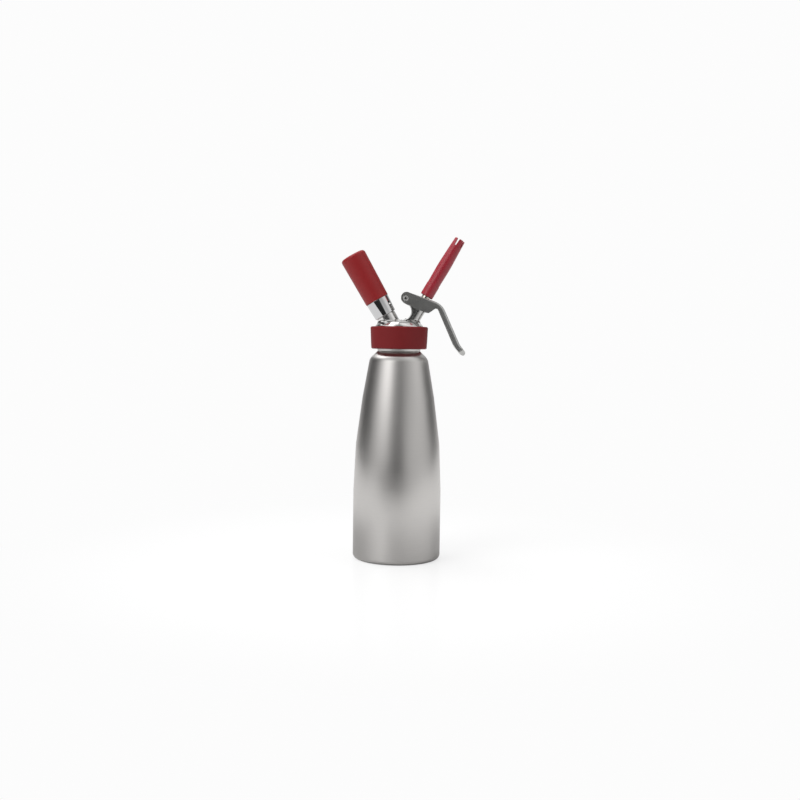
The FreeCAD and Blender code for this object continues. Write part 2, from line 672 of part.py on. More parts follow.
def make_valve_stem():
    """Hollow valve rod: seal disc at its inner end, cross hole above it, O-ring groove."""
    body = new_body("valve_stem", VALVE)
    disc_top = size.flange_low + size.flange_thick
    seat = size.tube_inner_end - size.face_gap
    groove_top = size.groove_low + size.groove_length
    turned(body, "rod", outline(body, [
        (0, size.stem_end), (size.stem_core, size.stem_end, 0.3), (size.stem_core, size.flange_low),
        (size.flange_radius, size.flange_low, 0.3), (size.flange_radius, disc_top),
        (size.stem_core, disc_top), (size.stem_core, seat), (size.stem_radius, seat),
        (size.stem_radius, size.groove_low), (size.stem_core, size.groove_low),
        (size.stem_core, groove_top), (size.stem_radius, groove_top),
        (size.stem_radius, size.stem_top), (size.stem_hole, size.stem_top),
        (size.stem_hole, size.stem_floor), (0, size.stem_floor)]))
    port = circle_sketch(body, (0, size.port_along), size.port_radius)
    extruded(body, "cross_hole", port, size.stem_radius * 3, cut=True)
    return body


def make_stem_seal():
    """Silicone disc that closes the tube from inside."""
    body = new_body("stem_seal", VALVE)
    low = size.flange_low + size.flange_thick
    high = size.tube_inner_end - size.face_gap
    turned(body, "disc", outline(body, [
        (size.stem_core, low), (size.seal_low, low, 0.5), (size.seal_high, high, 0.3),
        (size.stem_core, high)]))
    return body


def make_stem_o_ring():
    """O-ring that keeps cream out of the spring's room."""
    o_ring = doc.addObject("Part::Torus", "stem_o_ring")
    o_ring.Label = "stem_o_ring"
    outer = size.stem_bore - size.face_gap
    tie(o_ring, "Radius1", (outer + size.stem_core) / 2)
    tie(o_ring, "Radius2", (outer - size.stem_core) / 2)
    along = size.groove_low.value + size.groove_length.value / 2
    lift = FreeCAD.Placement(FreeCAD.Vector(0, 0, along), FreeCAD.Rotation())
    o_ring.Placement = VALVE.multiply(lift)
    return o_ring


def make_valve_spring():
    """Compression spring round the adapter's boss."""
    body = new_body("valve_spring", VALVE)
    start = size.spring_floor + size.spring_seat_thick + size.wire_radius + size.face_gap
    end = size.collar_low - size.wire_radius - size.face_gap
    wire = circle_sketch(body, (size.coil_radius, start), size.wire_radius)
    height = end - start
    helical(body, "coil", wire, height / size.coil_count, height)
    return body


def make_nozzle_adapter():
    """Brass adapter on the stem: flange that the lever pushes, neck, and the nozzle's thread."""
    body = new_body("nozzle_adapter", VALVE)
    turned(body, "adapter", outline(body, [
        (size.stem_radius, size.boss_end), (size.boss_radius, size.boss_end, 0.2),
        (size.boss_radius, size.collar_low), (size.collar_radius, size.collar_low, 0.3),
        (size.collar_radius, size.collar_top, 0.3), (size.adapter_neck, size.collar_top),
        (size.adapter_neck, size.adapter_shoulder, 0.2), (size.adapter_core, size.adapter_shoulder),
        (size.adapter_core, size.adapter_end, 0.3), (size.adapter_hole, size.adapter_end),
        (size.adapter_hole, size.stem_top), (size.stem_radius, size.stem_top)]))
    thread(body, size.adapter_core, size.nozzle_depth, size.nozzle_tooth,
           size.nozzle_pitch, size.nozzle_start, size.nozzle_run)
    return body


# ---------------------------------------------------------------- nozzle


def make_nozzle_insert():
    """Metal thread moulded into the nozzle."""
    bore = size.adapter_core + size.nozzle_depth + size.thread_gap
    body = ring("nozzle_insert", VALVE, bore, size.insert_radius, size.insert_low, size.insert_high)
    thread(body, bore, size.nozzle_depth, size.nozzle_tooth, size.nozzle_pitch,
           size.nozzle_start + size.nozzle_pitch / 2, size.nozzle_run, inside=True)
    return body


def make_nozzle():
    """Plastic nozzle: thick threaded foot, slim barrel and a slotted tip."""
    body = new_body("nozzle", VALVE)
    seal_top = size.insert_high + size.seal_room
    seal_bore = size.adapter_core + size.nozzle_depth
    turned(body, "barrel", outline(body, [
        (size.insert_radius, size.nozzle_low), (size.nozzle_collar, size.nozzle_low, 0.6),
        (size.nozzle_collar, size.collar_end, 0.25), (size.barrel_low, size.collar_end),
        (size.barrel_mid, size.barrel_mid_along, size.barrel_blend),
        (size.nozzle_tip, size.tip_along, 0.7), (size.tip_hole, size.tip_along, 0.4),
        (size.barrel_low - size.barrel_wall, size.collar_end + 0.5, 1.0),
        (size.throat_radius, seal_top + size.throat_length, 1.0),
        (size.throat_radius, seal_top), (seal_bore, seal_top),
        (seal_bore, size.insert_high), (size.insert_radius, size.insert_high)]))
    level = FreeCAD.Vector(0, 0, size.slot_floor.value)
    turn = FreeCAD.Rotation(FreeCAD.Vector(0, 0, 1), size.slot_turn.value)
    half = size.slot_width / 2
    reach = size.nozzle_tip + 2
    slot = outline(body, [(0, -half), (reach, -half), (reach, half), (0, half)],
                   role="XY_Plane", offset=FreeCAD.Placement(level, turn))
    cut = extruded(body, "slot", slot, size.tip_along - size.slot_floor + 1, cut=True,
                   symmetric=False, reverse=True)
    before = volume(body)
    slots = body.newObject("PartDesign::PolarPattern", "nozzle_slots")
    slots.Originals = [cut]
    slots.Axis = (origin_plane(body, "Z_Axis"), [""])
    slots.Angle = 360
    slots.Occurrences = int(size.slot_count.value)
    tie(slots, "Occurrences", size.slot_count)
    body.Tip = slots
    check_change(body, before, False, "slots")
    return body


# ---------------------------------------------------------------- lever


def lever_outline(name):
    """Return one of the lever's outlines, each of its numbers tied to the sheet."""
    numbers = range(1, len(LEVER_CORNERS[name]) + 1)
    return [tuple(getattr(size, f"lever_{name}{number}_{field}") for field in CORNER_FIELDS)
            for number in numbers]


def make_lever():
    """Pressed steel lever: a channel with two cheeks on the pivot, pegs on the valve's flange."""
    body = new_body("lever", PIVOT)
    extruded(body, "side", outline(body, lever_outline("side")), size.lever_half * 2)
    inner_half = size.lever_half - size.lever_sheet
    extruded(body, "channel", outline(body, lever_outline("hollow")), inner_half * 2, cut=True)
    peg_along = size.collar_top.value + size.face_gap.value + size.pad_radius.value - pivot_s
    peg_across = -pivot_n
    peg_place = (peg_across * lean_cos + peg_along * lean_sin,
                 peg_along * lean_cos - peg_across * lean_sin)
    inward = FreeCAD.Placement(FreeCAD.Vector(0, 0, size.pad_inner.value), FreeCAD.Rotation())
    peg = circle_sketch(body, peg_place, size.pad_radius, offset=inward)
    front_peg = extruded(body, "peg", peg, inner_half - size.pad_inner + 0.3, symmetric=False)
    before = volume(body)
    pegs = body.newObject("PartDesign::Mirrored", "lever_pegs")
    pegs.Originals = [front_peg]
    pegs.MirrorPlane = (origin_plane(body, "XZ_Plane"), [""])
    body.Tip = pegs
    check_change(body, before, True, "pegs")
    for shift in (0.0, size.slot_shift.value):
        across = -pivot_n - shift
        foot = FreeCAD.Vector(across * lean_cos - pivot_s * lean_sin,
                              -across * lean_sin - pivot_s * lean_cos, 0)
        lean = FreeCAD.Rotation(FreeCAD.Vector(0, 0, 1), -size.arm_tilt.value)
        slot = outline(body, [
            (0, size.collar_top), (size.neck_slot, size.collar_top),
            (size.neck_slot, size.collar_end), (0, size.collar_end)],
            offset=FreeCAD.Placement(foot, lean))
        turned(body, "neck_slot", slot, cut=True)
    hole = circle_sketch(body, (0, 0), size.rivet_radius)
    extruded(body, "rivet_hole", hole, size.lever_half * 4, cut=True)
    return body


def make_pivot_rivet():
    """Hollow rivet through both cheeks and the lug."""
    body = new_body("pivot_rivet", PIVOT_PIN)
    end = size.lever_half + size.rivet_head_thick
    turned(body, "tube", outline(body, [
        (size.rivet_bore, -end), (size.rivet_head, -end, 0.3), (size.rivet_head, -size.lever_half),
        (size.rivet_radius, -size.lever_half), (size.rivet_radius, size.lever_half),
        (size.rivet_head, size.lever_half), (size.rivet_head, end, 0.3), (size.rivet_bore, end)]))
    return body


def make_pivot_washers():
    """Thin washers that centre the lug between the cheeks."""
    near = size.eye_half + size.washer_gap
    far = size.lever_half - size.lever_sheet - size.washer_gap
    hole = size.rivet_radius + size.pivot_fit
    front = ring("pivot_washer_front", PIVOT_PIN, hole, size.washer_radius, -far, -near, 0.1)
    rear = ring("pivot_washer_rear", PIVOT_PIN, hole, size.washer_radius, near, far, 0.1)
    return [front, rear]


# ---------------------------------------------------------------- gas charger and its holder


def make_gas_charger():
    """Steel gas bulb, pierced at its neck."""
    body = new_body("gas_charger", CHARGER)
    inner = size.bulb_radius - size.bulb_wall
    neck_inner = size.bulb_neck - size.bulb_wall
    end_round = size.bulb_radius - 0.1
    hole = size.pin_radius + 0.2
    turned(body, "bulb", outline(body, [
        (hole, size.bulb_low), (size.bulb_neck, size.bulb_low, 0.5),
        (size.bulb_neck, size.bulb_shoulder, 2.5), (size.bulb_radius, size.bulb_full, 3.5),
        (size.bulb_radius, size.bulb_high, end_round), (0, size.bulb_high),
        (0, size.bulb_high - size.bulb_wall), (inner, size.bulb_high - size.bulb_wall, inner - 0.1),
        (inner, size.bulb_full + 0.7, 2.5), (neck_inner, size.bulb_shoulder + 0.7, 2.5),
        (neck_inner, size.pin_tip + 0.7), (hole, size.pin_tip + 0.7)]))
    return body


def make_charger_sleeve():
    """Chromed sleeve of the charger's holder, threaded at its mouth."""
    body = new_body("charger_sleeve", CHARGER)
    bore = size.spigot_core + size.charger_depth + size.thread_gap
    turned(body, "sleeve", outline(body, [
        (bore, size.sleeve_low), (size.holder_low_radius, size.sleeve_low, 0.4),
        (size.holder_high_radius, size.sleeve_shoulder, 0.4),
        (size.sleeve_under_grip, size.sleeve_shoulder),
        (size.sleeve_under_grip, size.sleeve_high, 2.5), (0, size.sleeve_high),
        (0, size.sleeve_floor), (size.sleeve_inner, size.sleeve_floor, 1.5),
        (size.sleeve_inner, size.thread_room), (bore, size.thread_room)]))
    thread(body, bore, size.charger_depth, size.charger_tooth, size.charger_pitch,
           size.charger_start + size.charger_pitch / 2, size.charger_run, inside=True)
    return body


def make_charger_grip():
    """Silicone sleeve over the holder, closed at its end."""
    body = new_body("charger_grip", CHARGER)
    turned(body, "grip", outline(body, [
        (size.sleeve_under_grip, size.sleeve_shoulder),
        (size.grip_low_radius, size.sleeve_shoulder, 0.6),
        (size.grip_high_radius, size.grip_high, size.grip_round), (0, size.grip_high),
        (0, size.sleeve_high), (size.sleeve_under_grip, size.sleeve_high, 2.5)]))
    return body


def make_rings():
    """Make the plain rings: spring seat, nozzle seal, charger seal and the outlet's rubber sleeve."""
    return [
        ring("spring_seat", VALVE, size.boss_radius + size.thread_gap, size.spring_bore - 0.1,
             size.spring_floor, size.spring_floor + size.spring_seat_thick),
        ring("nozzle_seal", VALVE, size.adapter_hole + 0.2, size.adapter_core + 0.3,
             size.adapter_end + size.face_gap, size.insert_high + size.seal_room - size.face_gap),
        ring("charger_seal", CHARGER, size.pin_radius + 0.4, size.socket_radius,
             size.socket_floor, size.bulb_low - size.face_gap),
        ring("inlet_sleeve", CHARGER, size.nipple_radius, size.sleeve_valve_radius,
             size.nipple_low + 0.6, size.holder_low - 0.2),
    ]


def main():
    """Build every sub-part, check it and write it."""
    parts = [
        make_bottle(), make_head_gasket(), make_head_shell(), make_grip_band(), make_valve_arm(),
        make_charger_spigot(), make_pin_holder(), make_piercing_pin(), make_valve_stem(),
        make_stem_seal(), make_stem_o_ring(), make_valve_spring(), make_nozzle_adapter(),
        make_nozzle_insert(), make_nozzle(), make_lever(), make_pivot_rivet(),
        make_gas_charger(), make_charger_sleeve(), make_charger_grip()]
    parts += make_pivot_washers() + make_rings()
    doc.recompute()
    for thing in doc.Objects:
        if "Invalid" in thing.State or "Error" in thing.State:
            raise RuntimeError(f"{thing.Label} is {thing.State}")
    for part in parts:
        if part.Shape.isNull() or not part.Shape.isValid():
            raise RuntimeError(f"{part.Label} has no valid shape")
    os.makedirs("parts", exist_ok=True)
    for part in parts:
        part.Shape.exportStep(f"parts/{part.Label}.step")
        print(f"{part.Label:20s} {part.Shape.Volume:10.1f} mm3, {len(part.Shape.Solids)} solid")


main()
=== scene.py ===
"""Whipped cream dispenser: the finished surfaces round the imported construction.

Each sub-assembly is a class that holds its sizes in millimetres, in one of the local frames below,
and builds its pieces with bmesh. A piece's mesh is put in place, in metres, when it is finished, so
its object stays at the origin. Pieces that nobody sees until the dispenser comes apart keep their
construction mesh and only get a finish.
"""

import logging
import math
from dataclasses import dataclass
from enum import Enum
from typing import Callable, Sequence

import bmesh
import bpy
from mathutils import Matrix, Vector


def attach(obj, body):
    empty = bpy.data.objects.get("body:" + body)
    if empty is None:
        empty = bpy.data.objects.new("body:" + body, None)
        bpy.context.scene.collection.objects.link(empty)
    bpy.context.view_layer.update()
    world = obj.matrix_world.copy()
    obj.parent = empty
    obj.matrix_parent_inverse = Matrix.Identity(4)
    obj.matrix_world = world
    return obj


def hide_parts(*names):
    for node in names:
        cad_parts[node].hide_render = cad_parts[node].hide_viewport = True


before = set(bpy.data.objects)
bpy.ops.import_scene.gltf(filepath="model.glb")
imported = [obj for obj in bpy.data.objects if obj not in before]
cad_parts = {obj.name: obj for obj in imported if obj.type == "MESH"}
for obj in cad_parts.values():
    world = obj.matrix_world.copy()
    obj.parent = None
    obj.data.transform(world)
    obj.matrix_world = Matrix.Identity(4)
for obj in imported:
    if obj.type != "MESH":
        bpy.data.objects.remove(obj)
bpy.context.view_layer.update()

log = logging.getLogger("dispenser")

MM = 0.001
LATHE_STEPS = 160
ARC_STEP = math.radians(7.5)
SIDEWAYS = Matrix.Rotation(math.radians(90.0), 4, "X")

Corner = tuple[float, ...]
Point = tuple[float, float]


# ---- local frames


class Place(Enum):
    """Local frames: height of the origin, distance across, and lean towards +X in degrees."""

    UPRIGHT = (0.0, 0.0, 0.0)
    VALVE = (222.3, 0.0, 30.0)
    CHARGER = (225.2, 0.0, -30.0)
    PIVOT = (266.88, 6.13, 0.0)

    def matrix(self) -> Matrix:
        """Return the matrix from the frame's millimetres to the object's metres."""
        height, across, lean = self.value
        move = Matrix.Translation(Vector((across, 0.0, height)) * MM)
        turn = Matrix.Rotation(math.radians(lean), 4, "Y")
        return move @ turn @ Matrix.Scale(MM, 4)


# ---- outlines


def rounded_outline(corners: Sequence[Corner], closed: bool = True) -> list[Point]:
    """Replace each corner that has a radius by an arc.

    Args:
        corners: (across, up) or (across, up, radius) for each corner.
        closed: whether the last corner joins the first.

    Returns:
        The points of the outline, in order.
    """
    count = len(corners)
    points: list[Point] = []
    for index, corner in enumerate(corners):
        here = Vector(corner[:2])
        radius = corner[2] if len(corner) > 2 else 0.0
        at_end = not closed and index in (0, count - 1)
        if radius <= 0.0 or at_end:
            points.append((here.x, here.y))
            continue
        back = (Vector(corners[index - 1][:2]) - here).normalized()
        ahead = (Vector(corners[(index + 1) % count][:2]) - here).normalized()
        half = back.angle(ahead) / 2.0
        middle = here + (back + ahead).normalized() * (radius / math.sin(half))
        first = here + back * (radius / math.tan(half)) - middle
        last = here + ahead * (radius / math.tan(half)) - middle
        begin = math.atan2(first.y, first.x)
        sweep = (math.atan2(last.y, last.x) - begin + math.pi) % math.tau - math.pi
        steps = max(2, math.ceil(abs(sweep) / ARC_STEP))
        for step in range(steps + 1):
            angle = begin + sweep * step / steps
            points.append((middle.x + radius * math.cos(angle), middle.y + radius * math.sin(angle)))
    return points


@dataclass(frozen=True)
class Thread:
    """A screw thread: its tooth, pitch, rise from end to end, and sections for each turn."""

    depth: float
    width: float
    pitch: float
    run: float
    steps: int

    def tooth(self, core: float, start: float, inside: bool) -> list[Point]:
        """Return the tooth's section.

        Args:
            core: radius that the tooth stands on.
            start: height of its middle at the first turn.
            inside: whether it points inwards.

        Returns:
            The corners, from root to root.
        """
        out = -1.0 if inside else 1.0
        root, crest = core - 0.1 * out, core + self.depth * out
        return [(root, start - self.width / 2), (crest, start - self.width / 4),
                (crest, start + self.width / 4), (root, start + self.width / 2)]


NECK_THREAD = Thread(1.0, 2.0, 4.0, 8.0, 96)
CHARGER_THREAD = Thread(0.75, 1.3, 2.5, 6.0, 80)
NOZZLE_THREAD = Thread(0.6, 0.8, 1.5, 4.5, 64)


# ---- blanks


class Blank:
    """A mesh that is being shaped, in the millimetres of one local frame."""

    def __init__(self) -> None:
        """Start with an empty mesh."""
        self.bm = bmesh.new()

    def wire(self, points: Sequence[Point], closed: bool) -> list:
        """Draw a line through points of the frame's XZ plane.

        Args:
            points: (across, up) of each point.
            closed: whether the last point joins the first.

        Returns:
            The vertices and edges of the line.
        """
        verts = [self.bm.verts.new((x, 0.0, z)) for x, z in points]
        pairs = list(zip(verts, verts[1:]))
        if closed:
            pairs.append((verts[-1], verts[0]))
        return verts + [self.bm.edges.new(pair) for pair in pairs]

    def tidy(self, gap: float = 1e-4) -> "Blank":
        """Merge doubles and point every face outwards.

        Args:
            gap: distance under which vertices are merged.

        Returns:
            The blank itself.
        """
        bmesh.ops.remove_doubles(self.bm, verts=self.bm.verts, dist=gap)
        bmesh.ops.dissolve_degenerate(self.bm, dist=gap, edges=self.bm.edges)
        bmesh.ops.recalc_face_normals(self.bm, faces=self.bm.faces)
        return self

    def lathe(self, corners: Sequence[Corner], steps: int = LATHE_STEPS) -> "Blank":
        """Spin a closed outline round the frame's own Z axis.

        Args:
            corners: corners of the outline, with across as the radius.
            steps: faces round the piece.

        Returns:
            The blank itself.
        """
        line = self.wire(rounded_outline(corners), closed=True)
        on_axis = [e for e in line if isinstance(e, bmesh.types.BMEdge)
                   and all(abs(v.co.x) < 1e-9 for v in e.verts)]
        bmesh.ops.delete(self.bm, geom=on_axis, context="EDGES_FACES")
        line = [part for part in line if part.is_valid]
        bmesh.ops.spin(self.bm, geom=line, cent=(0, 0, 0), axis=(0, 0, 1), angle=math.tau,
                       steps=steps, use_merge=True)
        return self.tidy()

    def rod(self, radius: float, low: float, high: float, steps: int) -> "Blank":
        """Lathe a plain rod.

        Args:
            radius: radius of the rod.
            low: height of its lower end.
            high: height of its upper end.
            steps: faces round it.

        Returns:
            The blank itself.
        """
        return self.lathe([(0.0, low), (radius, low), (radius, high), (0.0, high)], steps)

    def screw(self, thread: Thread, core: float, start: float, inside: bool = False) -> "Blank":
        """Add a screw's ridge round the frame's Z axis, thinned out at both ends.

        Args:
            thread: the thread's sizes.
            core: radius that the ridge stands on.
            start: height of its middle at the first turn.
            inside: whether it points inwards.

        Returns:
            The blank itself.
        """
        ridge = bmesh.new()
        tooth = thread.tooth(core, start, inside)
        verts = [ridge.verts.new((x, 0.0, z)) for x, z in tooth]
        section = ridge.faces.new(verts)
        turns = thread.run / thread.pitch
        count = round(thread.steps * thread.run / thread.pitch)
        bmesh.ops.spin(ridge, geom=[section, *section.verts, *section.edges], cent=(0, 0, 0),
                       axis=(0, 0, 1), angle=math.tau * turns, steps=count,
                       dvec=(0.0, 0.0, thread.run / count))
        ridge.verts.index_update()
        root = tooth[0][0]
        fade = thread.steps / 8.0
        for vert in ridge.verts:
            step = vert.index // len(tooth)
            share = min(1.0, 0.15 + min(step, count - step) / fade)
            radius = math.hypot(vert.co.x, vert.co.y)
            kept = (root + (radius - root) * share) / radius
            vert.co.x, vert.co.y = vert.co.x * kept, vert.co.y * kept
        bmesh.ops.recalc_face_normals(ridge, faces=ridge.faces)
        self.add(ridge)
        return self

    def add(self, other: bmesh.types.BMesh) -> None:
        """Take another mesh's faces in, and free it."""
        mesh = bpy.data.meshes.new("joined")
        other.to_mesh(mesh)
        other.free()
        self.bm.from_mesh(mesh)
        bpy.data.meshes.remove(mesh)

    def prism(self, corners: Sequence[Corner], half: float) -> "Blank":
        """Extrude a closed outline of the XZ plane to both sides.

        Args:
            corners: corners of the outline.
            half: half the width along Y.

        Returns:
            The blank itself.
        """
        line = self.wire(rounded_outline(corners), closed=True)
        verts = [part for part in line if isinstance(part, bmesh.types.BMVert)]
        side = self.bm.faces.new(verts)
        bmesh.ops.translate(self.bm, verts=verts, vec=(0.0, -half, 0.0))
        grown = bmesh.ops.extrude_face_region(self.bm, geom=[side])["geom"]
        moved = [part for part in grown if isinstance(part, bmesh.types.BMVert)]
        bmesh.ops.translate(self.bm, verts=moved, vec=(0.0, 2.0 * half, 0.0))
        bmesh.ops.recalc_face_normals(self.bm, faces=self.bm.faces)
        self.bm.normal_update()
        return self

    def bevel(self, wanted: Callable[[bmesh.types.BMEdge], bool], width: float,
              segments: int) -> "Blank":
        """Round the edges that a test picks.

        Args:
            wanted: tells whether an edge is rounded.
            width: width of the rounding.
            segments: faces across it.

        Returns:
            The blank itself.
        """
        edges = [edge for edge in self.bm.edges if wanted(edge)]
        bmesh.ops.bevel(self.bm, geom=edges, offset=width, offset_type="OFFSET", segments=segments,
                        profile=0.5, affect="EDGES", material=-1, clamp_overlap=False)
        return self

    def move(self, matrix: Matrix) -> "Blank":
        """Move the whole blank by a matrix."""
        bmesh.ops.transform(self.bm, matrix=matrix, verts=self.bm.verts)
        return self

    def as_object(self, name: str = "blank") -> bpy.types.Object:
        """Turn the blank into an object in the scene, and free the blank."""
        mesh = bpy.data.meshes.new(name)
        self.bm.to_mesh(mesh)
        self.bm.free()
        return linked(name, mesh)

    def worked(self, setups: Sequence[Callable[[bpy.types.Object], None]]) -> "Blank":
        """Apply modifiers to the blank.

        Args:
            setups: functions that each add one modifier to an object.

        Returns:
            The blank itself.
        """
        thing = self.as_object()
        for setup in setups:
            setup(thing)
        graph = bpy.context.evaluated_depsgraph_get()
        shaped = bpy.data.meshes.new_from_object(thing.evaluated_get(graph))
        self.bm = bmesh.new()
        self.bm.from_mesh(shaped)
        bpy.data.meshes.remove(shaped)
        discard(thing)
        return self

    def combine(self, tool: "Blank", operation: str) -> "Blank":
        """Join this blank with another, or cut it by another.

        Args:
            tool: the other blank, which is used up.
            operation: UNION, DIFFERENCE or INTERSECT.

        Returns:
            The blank itself.
        """
        other = tool.as_object("tool")

        def setup(thing: bpy.types.Object) -> None:
            """Add the boolean."""
            work = thing.modifiers.new("combine", "BOOLEAN")
            work.operation = operation
            work.solver = "EXACT"
            work.object = other

        self.worked([setup])
        discard(other)
        return self

    def melted(self, voxel: float, rounds: int) -> "Blank":
        """Give the blank the soft edges of a casting.

        Args:
            voxel: grid that the surface is rebuilt on.
            rounds: smoothing passes.

        Returns:
            The blank itself.
        """
        def rebuild(thing: bpy.types.Object) -> None:
            """Add the remesh."""
            work = thing.modifiers.new("rebuild", "REMESH")
            work.mode = "VOXEL"
            work.voxel_size = voxel
            work.use_smooth_shade = True

        self.worked([rebuild])
        for _ in range(rounds):
            bmesh.ops.smooth_vert(self.bm, verts=self.bm.verts, factor=0.5, use_axis_x=True,
                                  use_axis_y=True, use_axis_z=True)
        return self


def linked(name: str, data: bpy.types.ID) -> bpy.types.Object:
    """Put a new object with some data into the scene."""
    thing = bpy.data.objects.new(name, data)
    bpy.context.scene.collection.objects.link(thing)
    return thing


def discard(thing: bpy.types.Object) -> None:
    """Remove a helper object and its mesh."""
    mesh = thing.data
    bpy.data.objects.remove(thing)
    bpy.data.meshes.remove(mesh)


# ---- finishes


@dataclass(frozen=True)
class Look:
    """A finish: base colour and gloss, with its own grain.

    A grain is a noise in the piece's millimetres, stretched along an axis; it varies the colour, the
    roughness and the surface's height.
    """

    name: str
    colour: tuple[float, float, float]
    metallic: float = 0.0
    roughness: float = 0.4
    specular: float = 0.5
    anisotropic: float = 0.0
    grain: tuple[float, float, float] = (3.0, 3.0, 3.0)
    grain_colour: float = 0.0
    grain_roughness: float = 0.0
    grain_height: float = 0.0
    cloud: float = 8.0
    cloud_colour: float = 0.0
    cloud_roughness: float = 0.0
    place: Place = Place.UPRIGHT

    def material(self) -> bpy.types.Material:
        """Return the finish's material, made at its first use."""
        title = f"finish_{self.name}"
        made = bpy.data.materials.get(title)
        if made is not None:
            return made
        made = bpy.data.materials.new(title)
        made.use_nodes = True
        tree = made.node_tree
        shader = tree.nodes["Principled BSDF"]
        shader.inputs["Metallic"].default_value = self.metallic
        shader.inputs["Specular IOR Level"].default_value = self.specular
        shader.inputs["Anisotropic"].default_value = self.anisotropic
        place = tree.nodes.new("ShaderNodeTexCoord")
        turn = tree.nodes.new("ShaderNodeMapping")
        turn.vector_type = "TEXTURE"
        height, across, lean = self.place.value
        turn.inputs["Location"].default_value = (across * MM, 0.0, height * MM)
        turn.inputs["Rotation"].default_value = (0.0, math.radians(lean), 0.0)
        turn.inputs["Scale"].default_value = (MM, MM, MM)
        tree.links.new(place.outputs["Object"], turn.inputs["Vector"])
        grain = self.noise(tree, turn, self.grain, 4.0)
        cloud = self.noise(tree, turn, (1.0 / self.cloud,) * 3, 3.0)
        tone = self.spread(tree, [(grain, self.grain_colour), (cloud, self.cloud_colour)], 1.0)
        tint = tree.nodes.new("ShaderNodeVectorMath")
        tint.operation = "SCALE"
        tint.inputs[0].default_value = self.colour
        tree.links.new(tone, tint.inputs["Scale"])
        tree.links.new(tint.outputs["Vector"], shader.inputs["Base Color"])
        gloss = self.spread(tree, [(grain, self.grain_roughness), (cloud, self.cloud_roughness)],
                            self.roughness)
        tree.links.new(gloss, shader.inputs["Roughness"])
        if self.grain_height > 0.0:
            bump = tree.nodes.new("ShaderNodeBump")
            bump.inputs["Strength"].default_value = 1.0
            bump.inputs["Distance"].default_value = self.grain_height * MM
            tree.links.new(grain, bump.inputs["Height"])
            tree.links.new(bump.outputs["Normal"], shader.inputs["Normal"])
        return made

    @staticmethod
    def noise(tree: bpy.types.NodeTree, source: bpy.types.Node, scale: tuple[float, float, float],
              detail: float) -> bpy.types.NodeSocket:
        """Add a noise.

        Args:
            tree: the material's nodes.
            source: node whose vector is in millimetres.
            scale: waves for each millimetre along X, Y and Z.
            detail: how many finer layers it has.

        Returns:
            The socket with its height.
        """
        stretch = tree.nodes.new("ShaderNodeVectorMath")
        stretch.operation = "MULTIPLY"
        stretch.inputs[1].default_value = scale
        tree.links.new(source.outputs["Vector"], stretch.inputs[0])
        noise = tree.nodes.new("ShaderNodeTexNoise")
        noise.inputs["Scale"].default_value = 1.0
        noise.inputs["Detail"].default_value = detail
        noise.inputs["Roughness"].default_value = 0.6
        tree.links.new(stretch.outputs["Vector"], noise.inputs["Vector"])
        return noise.outputs["Fac"]

    @staticmethod
    def spread(tree: bpy.types.NodeTree, parts: Sequence[tuple[bpy.types.NodeSocket, float]],
               middle: float) -> bpy.types.NodeSocket:
        """Add noises, each centred on nought, to a middle value.

        Args:
            tree: the material's nodes.
            parts: noises with the swing that each gives.
            middle: the value without them.

        Returns:
            The socket with the sum.
        """
        total: bpy.types.NodeSocket | None = None
        for socket, swing in parts:
            step = tree.nodes.new("ShaderNodeMath")
            step.operation = "MULTIPLY_ADD"
            step.inputs[1].default_value = 2.0 * swing
            tree.links.new(socket, step.inputs[0])
            if total is None:
                step.inputs[2].default_value = middle - sum(swing for _, swing in parts)
            else:
                tree.links.new(total, step.inputs[2])
            total = step.outputs[0]
        return total


BRUSHED = Look("brushed_steel", (0.63, 0.613, 0.596), metallic=1.0, roughness=0.31, anisotropic=0.8,
               grain=(0.06, 0.06, 9.0), grain_colour=0.10, grain_roughness=0.06,
               grain_height=0.002, cloud=40.0, cloud_colour=0.03, cloud_roughness=0.03)
POLISHED = Look("polished_steel", (0.74, 0.73, 0.72), metallic=1.0, roughness=0.11,
                grain=(1.2, 1.2, 1.2), grain_colour=0.03, grain_roughness=0.05, grain_height=0.003,
                cloud=6.0, cloud_colour=0.04, cloud_roughness=0.03)
CAST_VALVE = Look("cast_steel", (0.50, 0.495, 0.485), metallic=1.0, roughness=0.25,
                  grain=(1.6, 1.6, 1.6), grain_colour=0.04, grain_roughness=0.06,
                  grain_height=0.002, cloud=5.0, cloud_colour=0.05, cloud_roughness=0.04,
                  place=Place.VALVE)
TURNED_CHARGER = Look("turned_steel", (0.76, 0.75, 0.74), metallic=1.0, roughness=0.2,
                      grain=(0.1, 0.1, 7.0), grain_colour=0.05, grain_roughness=0.05,
                      grain_height=0.002, place=Place.CHARGER)
CHROME = Look("chrome", (0.61, 0.61, 0.615), metallic=1.0, roughness=0.05,
              grain=(0.8, 0.8, 0.8), grain_roughness=0.012, grain_colour=0.01,
              cloud=12.0, cloud_roughness=0.01, place=Place.CHARGER)
SATIN = Look("satin_lever", (0.55, 0.55, 0.535), metallic=1.0, roughness=0.34,
             grain=(2.5, 2.5, 2.5), grain_colour=0.05, grain_roughness=0.07, grain_height=0.004,
             cloud=9.0, cloud_colour=0.05, cloud_roughness=0.03, place=Place.PIVOT)
BAND_RED = Look("band_silicone", (0.184, 0.014, 0.016), roughness=0.60, specular=0.22,
                grain_colour=0.05, grain_roughness=0.06, grain_height=0.012,
                cloud=14.0, cloud_colour=0.06, cloud_roughness=0.03)
GRIP_RED = Look("grip_silicone", (0.280, 0.014, 0.016), roughness=0.47, specular=0.36,
                grain_colour=0.05, grain_roughness=0.06, grain_height=0.012,
                cloud=14.0, cloud_colour=0.06, cloud_roughness=0.03, place=Place.CHARGER)
